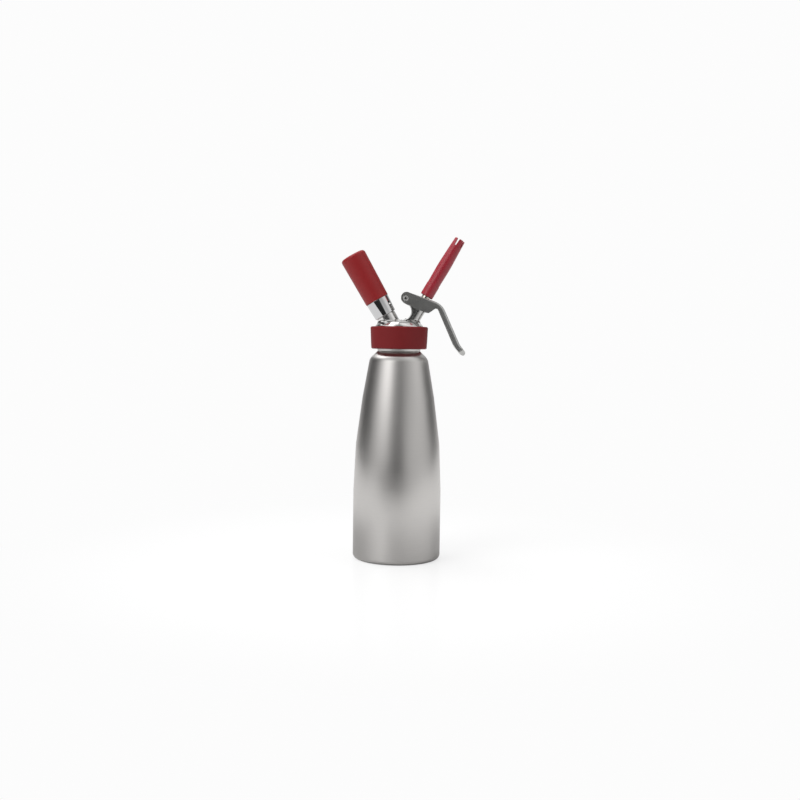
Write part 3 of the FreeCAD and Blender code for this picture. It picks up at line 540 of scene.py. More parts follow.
NOZZLE_RED = Look("nozzle_plastic", (0.320, 0.018, 0.032), roughness=0.36, specular=0.55,
                  grain=(0.3, 0.3, 0.10), grain_colour=0.03, cloud=18.0, cloud_colour=0.06,
                  cloud_roughness=0.02, place=Place.VALVE)
BRASS = Look("brass", (0.72, 0.52, 0.24), metallic=1.0, roughness=0.25, grain=(0.2, 0.2, 8.0),
             grain_colour=0.05, grain_roughness=0.06, grain_height=0.002, place=Place.CHARGER)
NICKEL = Look("nickel", (0.66, 0.63, 0.56), metallic=1.0, roughness=0.18, grain=(0.2, 0.2, 8.0),
              grain_colour=0.04, grain_roughness=0.05, grain_height=0.002, place=Place.VALVE)
STEM_STEEL = Look("stem_steel", (0.60, 0.60, 0.59), metallic=1.0, roughness=0.2,
                  grain=(0.2, 0.2, 9.0), grain_colour=0.05, grain_roughness=0.06,
                  grain_height=0.002, place=Place.VALVE)
RIVET_STEEL = Look("rivet_steel", (0.72, 0.72, 0.71), metallic=1.0, roughness=0.42,
                   grain=(0.6, 0.6, 0.6), grain_colour=0.03, grain_roughness=0.03,
                   place=Place.PIVOT)
SPRING_STEEL = Look("spring_steel", (0.50, 0.50, 0.50), metallic=1.0, roughness=0.28,
                    grain_colour=0.06, grain_roughness=0.08, grain_height=0.003, place=Place.VALVE)
BULB_STEEL = Look("bulb_steel", (0.58, 0.58, 0.57), metallic=1.0, roughness=0.26,
                  grain=(0.4, 0.4, 5.0), grain_colour=0.06, grain_roughness=0.06,
                  grain_height=0.002, place=Place.CHARGER)
SEAL_RED = Look("seal_silicone", (0.22, 0.020, 0.024), roughness=0.45, specular=0.4,
                grain_colour=0.05, grain_roughness=0.05, grain_height=0.008)
SEAL_CLEAR = Look("seal_clear", (0.62, 0.60, 0.56), roughness=0.42, specular=0.45,
                  grain_colour=0.04, grain_roughness=0.05, grain_height=0.006)
WASHER_WHITE = Look("washer_plastic", (0.72, 0.71, 0.69), roughness=0.4,
                    grain_colour=0.03, grain_roughness=0.05, grain_height=0.004, place=Place.PIVOT)


# ---- pieces


def finished(blank: Blank, name: str, place: Place, look: Look, body: str,
             nodes: Sequence[str], crease: float = 32.0) -> bpy.types.Object:
    """Put a blank in its place and hand it to the frame.

    Args:
        blank: the shaped mesh, in the place's millimetres.
        name: the piece's name.
        place: its local frame.
        look: its finish.
        body: the body that it moves with.
        nodes: the construction nodes that it stands for.
        crease: angle in degrees over which an edge stays sharp.

    Returns:
        The piece.
    """
    blank.move(place.matrix())
    piece = blank.as_object(name)
    piece.data.polygons.foreach_set("use_smooth", [True] * len(piece.data.polygons))
    piece.data.set_sharp_from_angle(angle=math.radians(crease))
    piece.data.materials.append(look.material())
    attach(piece, body)
    if nodes:
        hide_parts(*nodes)
    triangles = sum(len(face.vertices) - 2 for face in piece.data.polygons)
    log.info("%-22s %6d triangles, rides on %s", name, triangles, body)
    return piece


def dress(node: str, look: Look) -> None:
    """Give a construction node its finish."""
    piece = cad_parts[node]
    piece.data.materials.clear()
    piece.data.materials.append(look.material())
    log.info("%-22s keeps its construction mesh, %s", node, look.name)


# ---- bottle


@dataclass
class Bottle:
    """Deep-drawn steel bottle with a threaded neck, and the gasket on its rim."""

    radius: float = 45.0
    cone_height: float = 118.4
    cone_blend: float = 553.0
    shoulder: Point = (29.7, 205.7)
    shoulder_blend: float = 11.0
    collar: tuple[Corner, ...] = (
        (21.6, 213.3, 0.3), (21.8, 213.5), (22.2, 216.2, 0.15), (21.3, 216.4))
    neck: Point = (21.3, 214.9)
    rim: float = 229.5
    wall: float = 1.2
    thread_start: float = 217.0
    raised: Point = (33.5, 2.2)
    ring: float = 36.0

    def build(self) -> None:
        """Build the bottle and dress the gasket."""
        wall = self.wall
        outside = [
            (0.0, self.raised[1]), (*self.raised, 2.0), (self.ring, 0.0, 1.5), (self.radius, 0.0, 4.6),
            (self.radius, self.cone_height, self.cone_blend),
            (*self.shoulder, self.shoulder_blend), *self.collar, (self.neck[0], self.rim, 0.5)]
        inside = [
            (self.neck[0] - wall, self.rim, 0.5), (self.neck[0] - wall, self.neck[1] - 0.5, 2.7),
            (self.shoulder[0] - wall, self.shoulder[1] - 0.7, self.shoulder_blend - wall),
            (self.radius - wall, self.cone_height, self.cone_blend - wall),
            (self.radius - wall, wall, 3.4), (self.ring - 0.4, wall, 2.0),
            (self.raised[0] - 0.4, self.raised[1] + wall, 1.5), (0.0, self.raised[1] + wall)]
        blank = Blank().lathe(outside + inside, steps=224)
        blank.screw(NECK_THREAD, self.neck[0], self.thread_start)
        finished(blank, "steel_bottle", Place.UPRIGHT, BRUSHED, "bottle_body",
                 ["bottle"])
        dress("head_gasket", SEAL_RED)


# ---- head


@dataclass
class Head:
    """Domed steel head with its silicone band and the two arms' roots."""

    dome_top: float = 245.3
    crown: Corner = (20.6, 243.0, 5.0)
    dome_edge: Corner = (24.4, 238.9, 1.2)
    skirt: Point = (26.0, 216.0)
    bore: float = 22.6
    seat: float = 231.6
    step: float = 236.4
    cavity: Point = (18.3, 241.3)
    thread_start: float = 219.0
    band_lip: float = 24.0
    band_low: Point = (28.35, 215.4)
    band_high: Point = (29.5, 238.2)
    band_round: float = 1.7
    valve_radius: float = 7.1
    spigot_radius: float = 10.1
    valve_fillet: float = 2.2
    spigot_fillet: float = 1.8

    def dome(self) -> list[Corner]:
        """Return the dome's corners, from its top to its edge."""
        return [(0.0, self.dome_top), (9.0, self.dome_top - 0.78, 60.0), self.crown, self.dome_edge,
                (self.dome_edge[0], self.step, 0.3)]

    def dome_height(self, radius: float) -> float:
        """Return the height of the dome's surface at a distance from the axis."""
        line = rounded_outline(self.dome(), closed=False)
        for near, far in zip(line, line[1:]):
            if near[0] <= radius < far[0]:
                return near[1] + (far[1] - near[1]) * (radius - near[0]) / (far[0] - near[0])
        return line[-1][1]

    def shell(self) -> None:
        """Build the domed shell, with the thread inside its skirt."""
        side = [
            *self.dome(), (self.skirt[0], self.step, 0.4), (*self.skirt, 0.5),
            (self.bore, self.skirt[1], 0.4), (self.bore, self.seat), (self.cavity[0], self.seat, 0.5),
            (*self.cavity, 3.0), (0.0, self.cavity[1])]
        blank = Blank().lathe(side, steps=192)
        blank.screw(NECK_THREAD, self.bore, self.thread_start, inside=True)
        finished(blank, "head_dome", Place.UPRIGHT, POLISHED, "head", ["head_shell"])

    def band(self) -> None:
        """Build the silicone band, hooked under the skirt and over its shoulder."""
        section = [
            (self.band_lip, self.band_low[1], 0.3), (*self.band_low, self.band_round),
            (28.75, 222.0, 60.0), (*self.band_high, self.band_round),
            (self.dome_edge[0], self.band_high[1], 0.25), (self.dome_edge[0], self.step),
            (self.skirt[0], self.step), self.skirt, (self.band_lip, self.skirt[1])]
        finished(Blank().lathe(section, steps=192), "head_band", Place.UPRIGHT, BAND_RED, "head",
                 ["grip_band"])

    def root(self, name: str, place: Place, radius: float, reach: float) -> None:
        """Build the fillet where an arm stands on the dome.

        Args:
            name: the piece's name.
            place: the arm's frame.
            radius: the arm's radius.
            reach: how far the fillet runs up the arm and out on the dome.
        """
        matrix = place.matrix()
        axis = (matrix.to_3x3() @ Vector((0, 0, 1))).normalized()
        steps = 96
        sections = 7
        blank = Blank()
        rings = []
        loops = []
        for _ in range(sections + 3):
            made = bmesh.ops.create_circle(blank.bm, cap_ends=False, segments=steps, radius=radius)
            rings.append(made["verts"])
            loops.append(list({edge for vert in made["verts"] for edge in vert.link_edges}))
        for index in range(steps):
            angle = math.tau * index / steps
            foot = self.meeting(matrix, radius, angle)
            inner = matrix.to_3x3() @ Vector((math.cos(angle), math.sin(angle), 0.0))
            outward = Vector((inner.x, inner.y, 0.0)).normalized()
            top = foot + axis * reach
            far = foot + outward * reach
            far.z = self.dome_height(math.hypot(far.x, far.y)) + 0.03
            for row in range(sections + 1):
                part = row / sections
                rings[row][index].co = (top * (1 - part) ** 2 + foot * 2 * part * (1 - part)
                                        + far * part ** 2)
            rings[sections + 1][index].co = far - Vector((0, 0, 0.6))
            rings[sections + 2][index].co = top - inner.normalized() * 0.4
        for loop, following in zip(loops, loops[1:] + loops[:1]):
            bmesh.ops.bridge_loops(blank.bm, edges=loop + following)
        blank.tidy()
        finished(blank, name, Place.UPRIGHT, POLISHED, "head", [])

    def meeting(self, matrix: Matrix, radius: float, angle: float) -> Vector:
        """Return where a line along an arm's surface meets the dome, in millimetres."""
        low, high = 0.0, 60.0
        for _ in range(40):
            along = (low + high) / 2.0
            spot = (matrix @ Vector((radius * math.cos(angle), radius * math.sin(angle), along))) / MM
            if spot.z < self.dome_height(math.hypot(spot.x, spot.y)):
                low = along
            else:
                high = along
        return spot

    def build(self) -> None:
        """Build the head's own pieces."""
        self.shell()
        self.band()
        self.root("valve_root", Place.VALVE, self.valve_radius, self.valve_fillet)
        self.root("charger_root", Place.CHARGER, self.spigot_radius, self.spigot_fillet)


@dataclass
class ValveArm:
    """Steel tube for the valve, with the arched lug that carries the lever."""

    radius: float = 7.1
    low: float = 17.0
    rim: float = 40.0
    rim_radius: float = 7.3
    rim_bead: float = 1.3
    bore: float = 5.7
    bore_floor: float = 35.6
    pivot: Point = (-16.98, 41.67)
    eye_radius: float = 4.3
    eye_half: float = 6.5
    web_half: float = 6.4
    web_root: float = 2.6
    web_foot: float = 23.0
    web_toe: Point = (-10.6, 17.0)
    flush_half: float = 6.95
    flush_top: float = 38.5
    arch_centre: Point = (-13.08, 29.05)
    arch_radius: float = 8.9
    arch_round: float = 1.2
    hole: float = 2.2
    guide: float = 3.3
    through: float = 9.0
    voxel: float = 0.22
    rounds: int = 8

    def casting(self) -> Blank:
        """Return tube, web and eye melted together, with the arch cut out."""
        tube = Blank().lathe([
            (0.0, self.low), (self.radius, self.low), (self.radius, self.rim - 1.6),
            (self.rim_radius, self.rim - self.rim_bead), (self.rim_radius, self.rim, 0.4),
            (0.0, self.rim)], steps=128)
        across, along = self.pivot
        reach = self.eye_radius
        web = Blank().prism([
            (across - reach, along + reach + 0.3, reach - 0.1), (across + 9.2, along + 3.7, 2.0),
            (across + 9.2, self.rim - 0.1), (-self.web_root, self.rim - 0.1),
            (-self.web_root, self.web_foot), self.web_toe,
            (self.arch_centre[0], along - reach),
            (across - reach, along - reach, reach - 0.1)], self.web_half)
        tube.combine(web, "UNION")
        flush = Blank().prism([
            (-9.5, self.flush_top), (-0.5, self.flush_top), (-0.5, self.web_foot + 1.0),
            self.web_toe], self.flush_half)
        tube.combine(flush, "UNION")
        flare = self.flush_half + 0.2
        wide = self.arch_radius + self.arch_round + 0.2
        cutter = Blank().lathe([
            (0.0, -self.through), (wide, -self.through), (wide, -flare),
            (self.arch_radius, -flare, self.arch_round), (self.arch_radius, flare, self.arch_round),
            (wide, flare), (wide, self.through), (0.0, self.through)], steps=128)
        cutter.move(Matrix.Translation((self.arch_centre[0], 0.0, self.arch_centre[1])) @ SIDEWAYS)
        tube.combine(cutter, "DIFFERENCE")
        eye = Blank().lathe([(0.0, -self.eye_half), (reach, -self.eye_half, 0.5),
                             (reach, self.eye_half, 0.5), (0.0, self.eye_half)], steps=96)
        eye.move(Matrix.Translation((across, 0.0, along)) @ SIDEWAYS)
        tube.combine(eye, "UNION")
        return tube.melted(self.voxel, self.rounds)

    def build(self) -> None:
        """Build the arm with its bores."""
        arm = self.casting()
        across, along = self.pivot
        bore = Blank().lathe([(0.0, self.bore_floor), (self.bore, self.bore_floor),
                              (self.bore, self.rim - 0.3), (self.bore + 0.5, self.rim + 0.4),
                              (0.0, self.rim + 0.4)], steps=96)
        guide = Blank().rod(self.guide, self.low - 2.0, self.bore_floor + 1.0, 64)
        hole = Blank().rod(self.hole, -self.through, self.through, 64)
        hole.move(Matrix.Translation((across, 0.0, along)) @ SIDEWAYS)
        for tool in (bore, guide, hole):
            arm.combine(tool, "DIFFERENCE")
        finished(arm, "valve_arm_casting", Place.VALVE, CAST_VALVE, "head",
                 ["valve_arm"])


@dataclass
class ChargerArm:
    """Threaded steel spigot for the charger's holder, and what is fitted in it."""

    radius: float = 10.1
    low: float = 17.0
    shoulder: float = 28.2
    core: float = 9.3
    top: float = 38.5
    socket: float = 4.65
    mouth: float = 6.6
    passage: float = 3.0
    floor: float = 27.8
    thread_start: float = 30.5

    def build(self) -> None:
        """Build the spigot and dress the pin, its holder, the seal and the outlet's sleeve."""
        blank = Blank().lathe([
            (self.passage, self.low), (self.radius, self.low), (self.radius, self.shoulder, 0.5),
            (self.core, self.shoulder), (self.core, self.top, 0.5), (self.mouth, self.top, 0.2),
            (self.socket, self.top - 2.2), (self.socket, self.floor), (self.passage, self.floor)])
        blank.screw(CHARGER_THREAD, self.core, self.thread_start)
        finished(blank, "charger_spigot_turned", Place.CHARGER, TURNED_CHARGER, "head",
                 ["charger_spigot"])
        dress("pin_holder", BRASS)
        dress("piercing_pin", STEM_STEEL)
        dress("charger_seal", SEAL_CLEAR)
        dress("inlet_sleeve", SEAL_RED)


# ---- valve and nozzle


@dataclass
class Valve:
    """Valve rod, its adapter, spring and seals."""

    flange_radius: float = 6.6
    flange: Point = (44.5, 46.0)
    neck: float = 4.3
    core: float = 3.9
    neck_top: float = 55.0
    top: float = 62.2
    thread_start: float = 56.5

    def build(self) -> None:
        """Build the adapter and dress the parts inside the tube."""
        low, high = self.flange
        blank = Blank().lathe([
            (2.9, 39.6), (3.6, 39.6, 0.2), (3.6, low), (self.flange_radius, low, 0.3),
            (self.flange_radius, high, 0.3), (self.neck, high, 0.4), (self.neck, self.neck_top, 0.2),
            (self.core, self.neck_top), (self.core, self.top, 0.3), (1.8, self.top), (1.8, 43.5),
            (2.9, 43.5)], steps=112)
        blank.screw(NOZZLE_THREAD, self.core, self.thread_start)
        finished(blank, "adapter_turned", Place.VALVE, NICKEL, "valve_rod",
                 ["nozzle_adapter"])
        dress("valve_stem", STEM_STEEL)
        dress("stem_seal", SEAL_RED)
        dress("stem_o_ring", SEAL_RED)
        dress("valve_spring", SPRING_STEEL)
        dress("spring_seat", NICKEL)


@dataclass
class Nozzle:
    """Plastic nozzle: thick foot, slim barrel and a slotted tip."""

    foot_radius: float = 6.7
    foot: Point = (54.4, 68.5)
    barrel_low: float = 6.35
    barrel: Corner = (6.8, 90.0, 200.0)
    tip: Point = (5.5, 121.4)
    tip_hole: float = 4.0
    slots: int = 5
    slot_top: float = 1.15
    slot_foot: float = 0.75
    slot_mouth: float = 0.45
    slot_floor: float = 113.9
    slot_turn: float = 252.0

    def build(self) -> None:
        """Build the nozzle and dress its insert and seal."""
        low, step = self.foot
        blank = Blank().lathe([
            (5.7, low), (self.foot_radius, low, 0.9), (self.foot_radius, step, 0.35),
            (self.barrel_low, step, 0.15), self.barrel, (*self.tip, 0.75),
            (self.tip_hole, self.tip[1], 0.6), (4.9, 69.0, 1.0),
            (3.0, 65.0, 1.0), (3.0, 63.3), (4.5, 63.3), (4.5, 62.3), (5.7, 62.3)], steps=144)
        mouth = self.slot_top + self.slot_mouth
        for index in range(self.slots):
            cutter = Blank().prism([
                (-self.slot_foot, self.slot_floor, self.slot_foot - 0.05),
                (-self.slot_top, self.tip[1] - 0.8, 1.0), (-mouth, self.tip[1] + 0.5),
                (mouth, self.tip[1] + 0.5), (self.slot_top, self.tip[1] - 0.8, 1.0),
                (self.slot_foot, self.slot_floor, self.slot_foot - 0.05)], 4.0)
            turn = math.radians(self.slot_turn + index * 360.0 / self.slots)
            cutter.move(Matrix.Rotation(turn, 4, "Z") @ Matrix.Translation((4.2, 0.0, 0.0))
                        @ Matrix.Rotation(math.radians(90.0), 4, "Z"))
            blank.combine(cutter, "DIFFERENCE")
        finished(blank, "nozzle_barrel", Place.VALVE, NOZZLE_RED, "spray_nozzle",
                 ["nozzle"])
        dress("nozzle_insert", NICKEL)
        dress("nozzle_seal", SEAL_CLEAR)


# ---- lever


@dataclass
class Lever:
    """Pressed steel lever: a channel on the pivot with two pegs, and its hollow rivet."""

    half: float = 9.1
    sheet: float = 1.4
    side: tuple[Corner, ...] = (
        (-4.75, 8.7, 5.6), (36.9, -5.05, 18.0), (55.6, -46.2, 12.0), (61.9, -54.3, 3.0),
        (60.3, -58.4, 2.0), (57.0, -56.3, 3.0), (50.6, -49.0, 12.0), (32.45, -8.22, 2.5),
        (23.9, -14.4, 3.0), (13.9, -12.16, 10.0), (-4.75, -2.59, 5.6))
    hollow: tuple[Corner, ...] = (
        (-9.0, 8.63), (35.88, -6.18, 16.6), (54.3, -46.7, 4.0), (46.0, -46.7), (25.0, -20.0),
        (-9.0, -20.0))
    plate: tuple[Corner, ...] = (
        (-14.25, 11.84), (36.9, -5.05, 18.0), (55.6, -46.2, 12.0), (68.04, -62.2))
    bend: float = 2.2
    tip_lean: float = 52.1
    tip_end: float = 82.88
    tip_round: float = 9.0
    slot_radius: float = 5.2
    slot_shift: float = 1.8
    slot: Point = (46.0, 68.5)
    peg: float = 47.55
    peg_radius: float = 1.5
    peg_inner: float = 5.35
    rivet_hole: float = 2.12
    rivet_head: float = 2.75
    rivet_bore: float = 1.3

    def on_plate(self, vert: bmesh.types.BMVert) -> bool:
        """Tell whether a vertex of the outline lies on the plate's outer face."""
        spot = Vector((vert.co.x, vert.co.z))
        line = [Vector(point) for point in rounded_outline(self.plate, closed=False)]
        for near, far in zip(line, line[1:]):
            share = (spot - near).dot(far - near) / (far - near).length_squared
            if (near.lerp(far, min(1.0, max(0.0, share))) - spot).length < 0.02:
                return True
        return False

    def on_outer_bend(self, edge: bmesh.types.BMEdge) -> bool:
        """Tell whether an edge joins the plate's outer face to a cheek."""
        one, other = edge.verts
        return abs(one.co.y - other.co.y) < 1e-4 and self.on_plate(one) and self.on_plate(other)

    def build(self) -> None:
        """Build the lever and its rivet, and dress the washers."""
        into_pivot = Place.PIVOT.matrix().inverted() @ Place.VALVE.matrix()
        blank = Blank().prism(self.side, self.half)
        blank.bevel(self.on_outer_bend, self.bend, 7)
        wide = self.half + 0.4
        tongue = Blank().prism([(-60.0, -wide), (self.tip_end, -wide, self.tip_round),
                                (self.tip_end, wide, self.tip_round), (-60.0, wide)], 60.0)
        tongue.move(Matrix.Rotation(math.radians(self.tip_lean), 4, "Y") @ SIDEWAYS)
        blank.combine(tongue, "INTERSECT")
        blank.combine(Blank().prism(self.hollow, self.half - self.sheet), "DIFFERENCE")
        for shift in (0.0, self.slot_shift):
            cutter = Blank().rod(self.slot_radius, *self.slot, 72)
            cutter.move(into_pivot @ Matrix.Translation((-shift, 0.0, 0.0)))
            blank.combine(cutter, "DIFFERENCE")
        hole = Blank().rod(self.rivet_hole, -12.0, 12.0, 64)
        blank.combine(hole.move(SIDEWAYS), "DIFFERENCE")
        for side in (-1.0, 1.0):
            peg = Blank().lathe([(0.0, self.peg_inner), (self.peg_radius, self.peg_inner, 0.3),
                                 (self.peg_radius, 8.0), (0.0, 8.0)], steps=48)
            peg.move(into_pivot @ Matrix.Translation((0.0, 0.0, self.peg))
                     @ Matrix.Rotation(math.radians(90.0 * side), 4, "X"))
            blank.add(peg.bm)
        finished(blank, "squeeze_lever_pressed", Place.PIVOT, SATIN, "squeeze_lever",
                 ["lever"])
        self.rivet()
        dress("pivot_washer_front", WASHER_WHITE)
        dress("pivot_washer_rear", WASHER_WHITE)

    def rivet(self) -> None:
        """Build the rivet with its rolled ends, closed in the middle."""
        end = self.half + 0.5
        bore, head = self.rivet_bore, self.rivet_head
        blank = Blank().lathe([
            (0.0, -1.0), (bore, -1.0), (bore, -end, 0.4), (head, -end, 0.35), (head, -self.half),
            (self.rivet_hole, -self.half), (self.rivet_hole, self.half), (head, self.half),
            (head, end, 0.35), (bore, end, 0.4), (bore, 1.0), (0.0, 1.0)], steps=72)
        finished(blank.move(SIDEWAYS), "rivet_rolled", Place.PIVOT, RIVET_STEEL, "squeeze_lever",
                 ["pivot_rivet"])


# ---- charger and its holder


@dataclass
class ChargerHolder:
    """Chromed sleeve with its silicone grip, and the gas bulb inside."""

    low: float = 28.5
    low_radius: float = 11.2
    shoulder: float = 45.8
    shoulder_radius: float = 12.1
    under_grip: float = 11.0
    bore: float = 9.35
    thread_bore: float = 10.35
    thread_start: float = 31.75
    thread_room: float = 38.9
    floor: float = 95.6
    end: float = 96.8
    grip_low: float = 12.45
    grip_high: Corner = (13.45, 97.9, 3.0)

    def build(self) -> None:
        """Build sleeve and grip, and dress the bulb."""
        sleeve = Blank().lathe([
            (self.thread_bore, self.low, 0.2), (self.low_radius, self.low, 0.4),
            (self.shoulder_radius, self.shoulder, 0.4), (self.under_grip, self.shoulder),
            (self.under_grip, self.end, 2.5), (0.0, self.end), (0.0, self.floor),
            (self.bore, self.floor, 1.5), (self.bore, self.thread_room),
            (self.thread_bore, self.thread_room)])
        sleeve.screw(CHARGER_THREAD, self.thread_bore, self.thread_start, inside=True)
        finished(sleeve, "holder_sleeve", Place.CHARGER, CHROME, "charger_holder",
                 ["charger_sleeve"])
        grip = Blank().lathe([
            (self.under_grip, self.shoulder), (self.grip_low, self.shoulder, 0.6), self.grip_high,
            (0.0, self.grip_high[1]), (0.0, self.end), (self.under_grip, self.end, 2.5)])
        finished(grip, "holder_grip", Place.CHARGER, GRIP_RED, "charger_holder",
                 ["charger_grip"])
        dress("gas_charger", BULB_STEEL)


# ---- studio


@dataclass
class Studio:
    """Camera, pale floor, soft lights and the panels that the steel reflects."""

    camera_place: tuple[float, float, float] = (0.0018, -1.040, 0.223)
    lens: float = 45.6
    pitch: float = 3.30
    roll: float = 0.82
    backdrop: float = 0.975
    floor_front: float = 0.62
    floor_reach: float = 1.5
    floor_glow: float = 0.72
    floor_seen: float = 0.50
    # azimuth in degrees from the camera's side towards +X, then the brightness below eye level, at
    # it, above it, and overhead
    panels: tuple[tuple[float, ...], ...] = (
        (-180, 0.70, 0.52, 0.80, 0.40), (-166, 0.70, 0.52, 0.80, 0.70), (-155, 0.70, 0.52, 0.30, 2.40),
        (-136, 0.70, 0.46, 0.08, 4.60), (-130, 0.20, 0.04, 0.04, 4.40), (-84, 0.20, 0.04, 0.04, 1.60),
        (-76, 0.40, 0.40, 0.40, 1.00), (-50, 0.55, 0.85, 1.80, 0.80), (-42, 0.03, 1.00, 2.40, 0.70),
        (-30, 0.03, 0.98, 2.20, 0.60), (-22, 0.03, 0.50, 0.80, 0.45), (-17, 0.03, 0.04, 0.10, 0.34),
        (15, 0.03, 0.04, 0.12, 0.34), (20, 0.30, 0.70, 0.30, 0.45), (28, 0.50, 0.76, 0.42, 0.60),
        (46, 0.50, 0.74, 0.60, 0.70), (62, 0.50, 0.72, 0.92, 0.90), (94, 0.50, 0.68, 0.98, 1.10),
        (99, 0.20, 0.05, 0.08, 0.80), (131, 0.20, 0.05, 0.08, 0.60), (137, 0.70, 0.46, 0.36, 0.50),
        (160, 0.70, 0.52, 0.78, 0.40), (180, 0.70, 0.52, 0.80, 0.40))

    def camera(self) -> None:
        """Make the camera."""
        data = bpy.data.cameras.new("camera")
        data.lens = self.lens
        data.sensor_width = 36.0
        view = linked("camera", data)
        turn = (Matrix.Rotation(math.radians(90.0 - self.pitch), 4, "X")
                @ Matrix.Rotation(math.radians(self.roll), 4, "Z"))
        view.matrix_world = Matrix.Translation(self.camera_place) @ turn
        bpy.context.scene.camera = view

    def surroundings(self) -> None:
        """Make the world: white to the eye, soft boxes and dark panels in reflections."""
        world = bpy.data.worlds.new("studio")
        bpy.context.scene.world = world
        world.use_nodes = True
        tree = world.node_tree
        tree.nodes.clear()
        place = tree.nodes.new("ShaderNodeTexCoord")
        split = tree.nodes.new("ShaderNodeSeparateXYZ")
        tree.links.new(place.outputs["Generated"], split.inputs["Vector"])
        forward = self.math(tree, "MULTIPLY", split.outputs["Y"], -1.0)
        azimuth = self.math(tree, "ARCTAN2", split.outputs["X"], forward)
        share = self.math(tree, "MULTIPLY_ADD", azimuth, 1.0 / math.tau, 0.5)
        whole = self.ramp(tree, share, 1)
        for column, start, end in ((2, -0.04, 0.02), (3, 0.02, 0.40), (4, 0.50, 0.84)):
            rise = self.soft_step(tree, split.outputs["Z"], start, end)
            whole = self.mix(tree, rise.outputs["Result"], whole, self.ramp(tree, share, column))
        path = tree.nodes.new("ShaderNodeLightPath")
        seen = self.mix(tree, path.outputs["Is Camera Ray"], whole, self.backdrop)
        back = tree.nodes.new("ShaderNodeBackground")
        tree.links.new(seen, back.inputs["Color"])
        out = tree.nodes.new("ShaderNodeOutputWorld")
        tree.links.new(back.outputs["Background"], out.inputs["Surface"])

    def ramp(self, tree: bpy.types.NodeTree, share: bpy.types.NodeSocket,
             column: int) -> bpy.types.NodeSocket:
        """Add the panels of one height as a ramp over the azimuth.

        Args:
            tree: the world's nodes.
            share: azimuth from 0 to 1.
            column: which brightness of the panels.

        Returns:
            The socket with the brightness.
        """
        node = tree.nodes.new("ShaderNodeValToRGB")
        stops = node.color_ramp.elements
        for panel in self.panels[1:-1]:
            stops.new((panel[0] + 180.0) / 360.0)
        for stop, panel in zip(stops, self.panels):
            stop.position = (panel[0] + 180.0) / 360.0
            stop.color = (panel[column],) * 3 + (1.0,)
        tree.links.new(share, node.inputs["Fac"])
        return node.outputs["Color"]

    @staticmethod
    def math(tree: bpy.types.NodeTree, operation: str, first: bpy.types.NodeSocket,
             *others: bpy.types.NodeSocket | float) -> bpy.types.NodeSocket:
        """Add a sum of sockets and numbers, and return its result."""
        node = tree.nodes.new("ShaderNodeMath")
        node.operation = operation
        tree.links.new(first, node.inputs[0])
        for index, other in enumerate(others, start=1):
            if isinstance(other, float):
                node.inputs[index].default_value = other
            else:
                tree.links.new(other, node.inputs[index])
        return node.outputs[0]

    @staticmethod
    def mix(tree: bpy.types.NodeTree, share: bpy.types.NodeSocket, first: bpy.types.NodeSocket,
            second: bpy.types.NodeSocket | float) -> bpy.types.NodeSocket:
        """Blend two colours, the second of which may be a grey, and return the result."""
        node = tree.nodes.new("ShaderNodeMix")
        node.data_type = "RGBA"
        tree.links.new(share, node.inputs["Factor"])
        tree.links.new(first, node.inputs["A"])
        if isinstance(second, float):
            node.inputs[7].default_value = (second, second, second, 1.0)
        else:
            tree.links.new(second, node.inputs[7])
        return node.outputs[2]

    @staticmethod
    def soft_step(tree: bpy.types.NodeTree, source: bpy.types.NodeSocket, start: float,
                  end: float) -> bpy.types.Node:
        """Add a soft step from 0 at one value to 1 at another, and return its node."""
        step = tree.nodes.new("ShaderNodeMapRange")
        step.interpolation_type = "SMOOTHSTEP"
        step.inputs["From Min"].default_value = start
        step.inputs["From Max"].default_value = end
        tree.links.new(source, step.inputs["Value"])
        return step

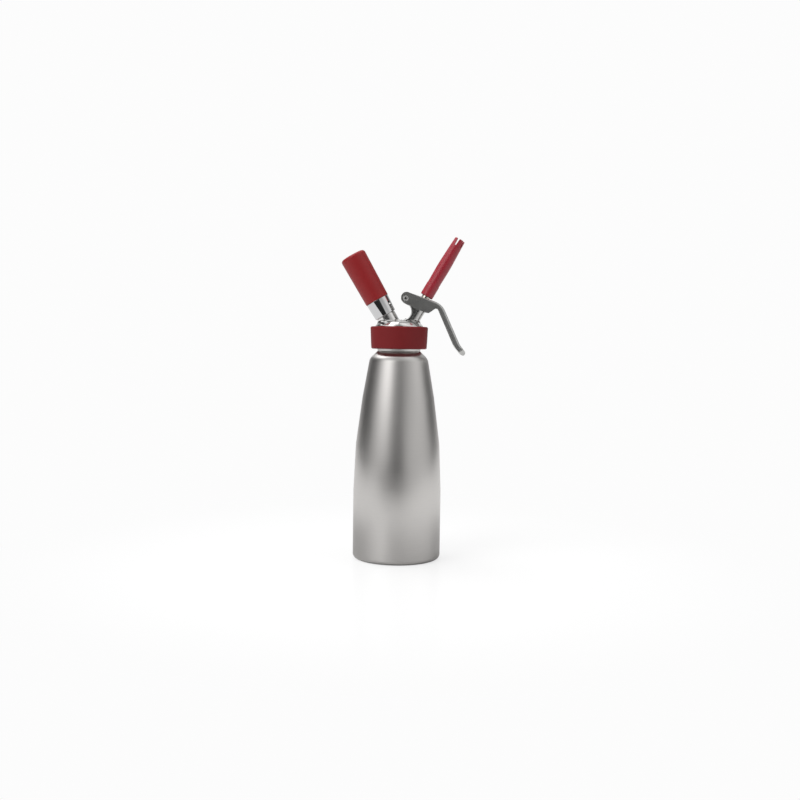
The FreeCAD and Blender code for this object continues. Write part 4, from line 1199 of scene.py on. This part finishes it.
    def floor(self) -> None:
        """Make the pale floor, lit evenly away from the dispenser."""
        blank = Blank()
        reach = self.floor_reach
        bmesh.ops.create_grid(blank.bm, x_segments=1, y_segments=1, size=reach)
        blank.move(Matrix.Translation((0.0, reach - self.floor_front, 0.0)))
        plane = blank.as_object("floor")
        paint = bpy.data.materials.new("floor_paint")
        paint.use_nodes = True
        tree = paint.node_tree
        shader = tree.nodes["Principled BSDF"]
        shader.inputs["Roughness"].default_value = 0.22
        shader.inputs["Specular IOR Level"].default_value = 0.3
        place = tree.nodes.new("ShaderNodeTexCoord")
        away = tree.nodes.new("ShaderNodeVectorMath")
        away.operation = "LENGTH"
        tree.links.new(place.outputs["Object"], away.inputs[0])
        fade = self.soft_step(tree, away.outputs["Value"], 0.12, 0.42)
        glow = tree.nodes.new("ShaderNodeEmission")
        glow.inputs["Color"].default_value = (self.backdrop,) * 3 + (1.0,)
        path = tree.nodes.new("ShaderNodeLightPath")
        base = self.math(tree, "MULTIPLY_ADD", path.outputs["Is Camera Ray"], 0.93 - self.floor_seen,
                         self.floor_seen)
        tree.links.new(base, shader.inputs["Base Color"])
        least = self.math(tree, "MULTIPLY", path.outputs["Is Camera Ray"], self.floor_glow)
        tree.links.new(least, fade.inputs["To Min"])
        both = tree.nodes.new("ShaderNodeMixShader")
        tree.links.new(fade.outputs["Result"], both.inputs["Fac"])
        tree.links.new(shader.outputs["BSDF"], both.inputs[1])
        tree.links.new(glow.outputs["Emission"], both.inputs[2])
        tree.links.new(both.outputs["Shader"], tree.nodes["Material Output"].inputs["Surface"])
        plane.data.materials.append(paint)

    def lights(self) -> None:
        """Make the soft key light from the upper left, and a weak fill from above."""
        for name, place, size, power in (("key", (-0.9, -0.7, 1.3), 0.8, 9.0),
                                         ("top", (0.1, 0.2, 1.6), 1.4, 9.0)):
            data = bpy.data.lights.new(name, "AREA")
            data.size = size
            data.energy = power
            lamp = linked(name, data)
            aim = Vector((0.0, 0.0, 0.12)) - Vector(place)
            turn = aim.to_track_quat("-Z", "Y").to_matrix().to_4x4()
            lamp.matrix_world = Matrix.Translation(place) @ turn
            lamp.visible_camera = False
            lamp.visible_glossy = False

    def build(self) -> None:
        """Set the studio up."""
        self.camera()
        self.surroundings()
        self.floor()
        self.lights()
        bpy.context.scene.view_settings.view_transform = "Standard"


# ---- the whole


def main() -> None:
    """Build the studio and every sub-assembly."""
    logging.basicConfig(level=logging.INFO, format="%(message)s")
    Studio().build()
    Bottle().build()
    Head().build()
    ValveArm().build()
    ChargerArm().build()
    Valve().build()
    Nozzle().build()
    Lever().build()
    ChargerHolder().build()


if __name__ == "__main__":
    main()
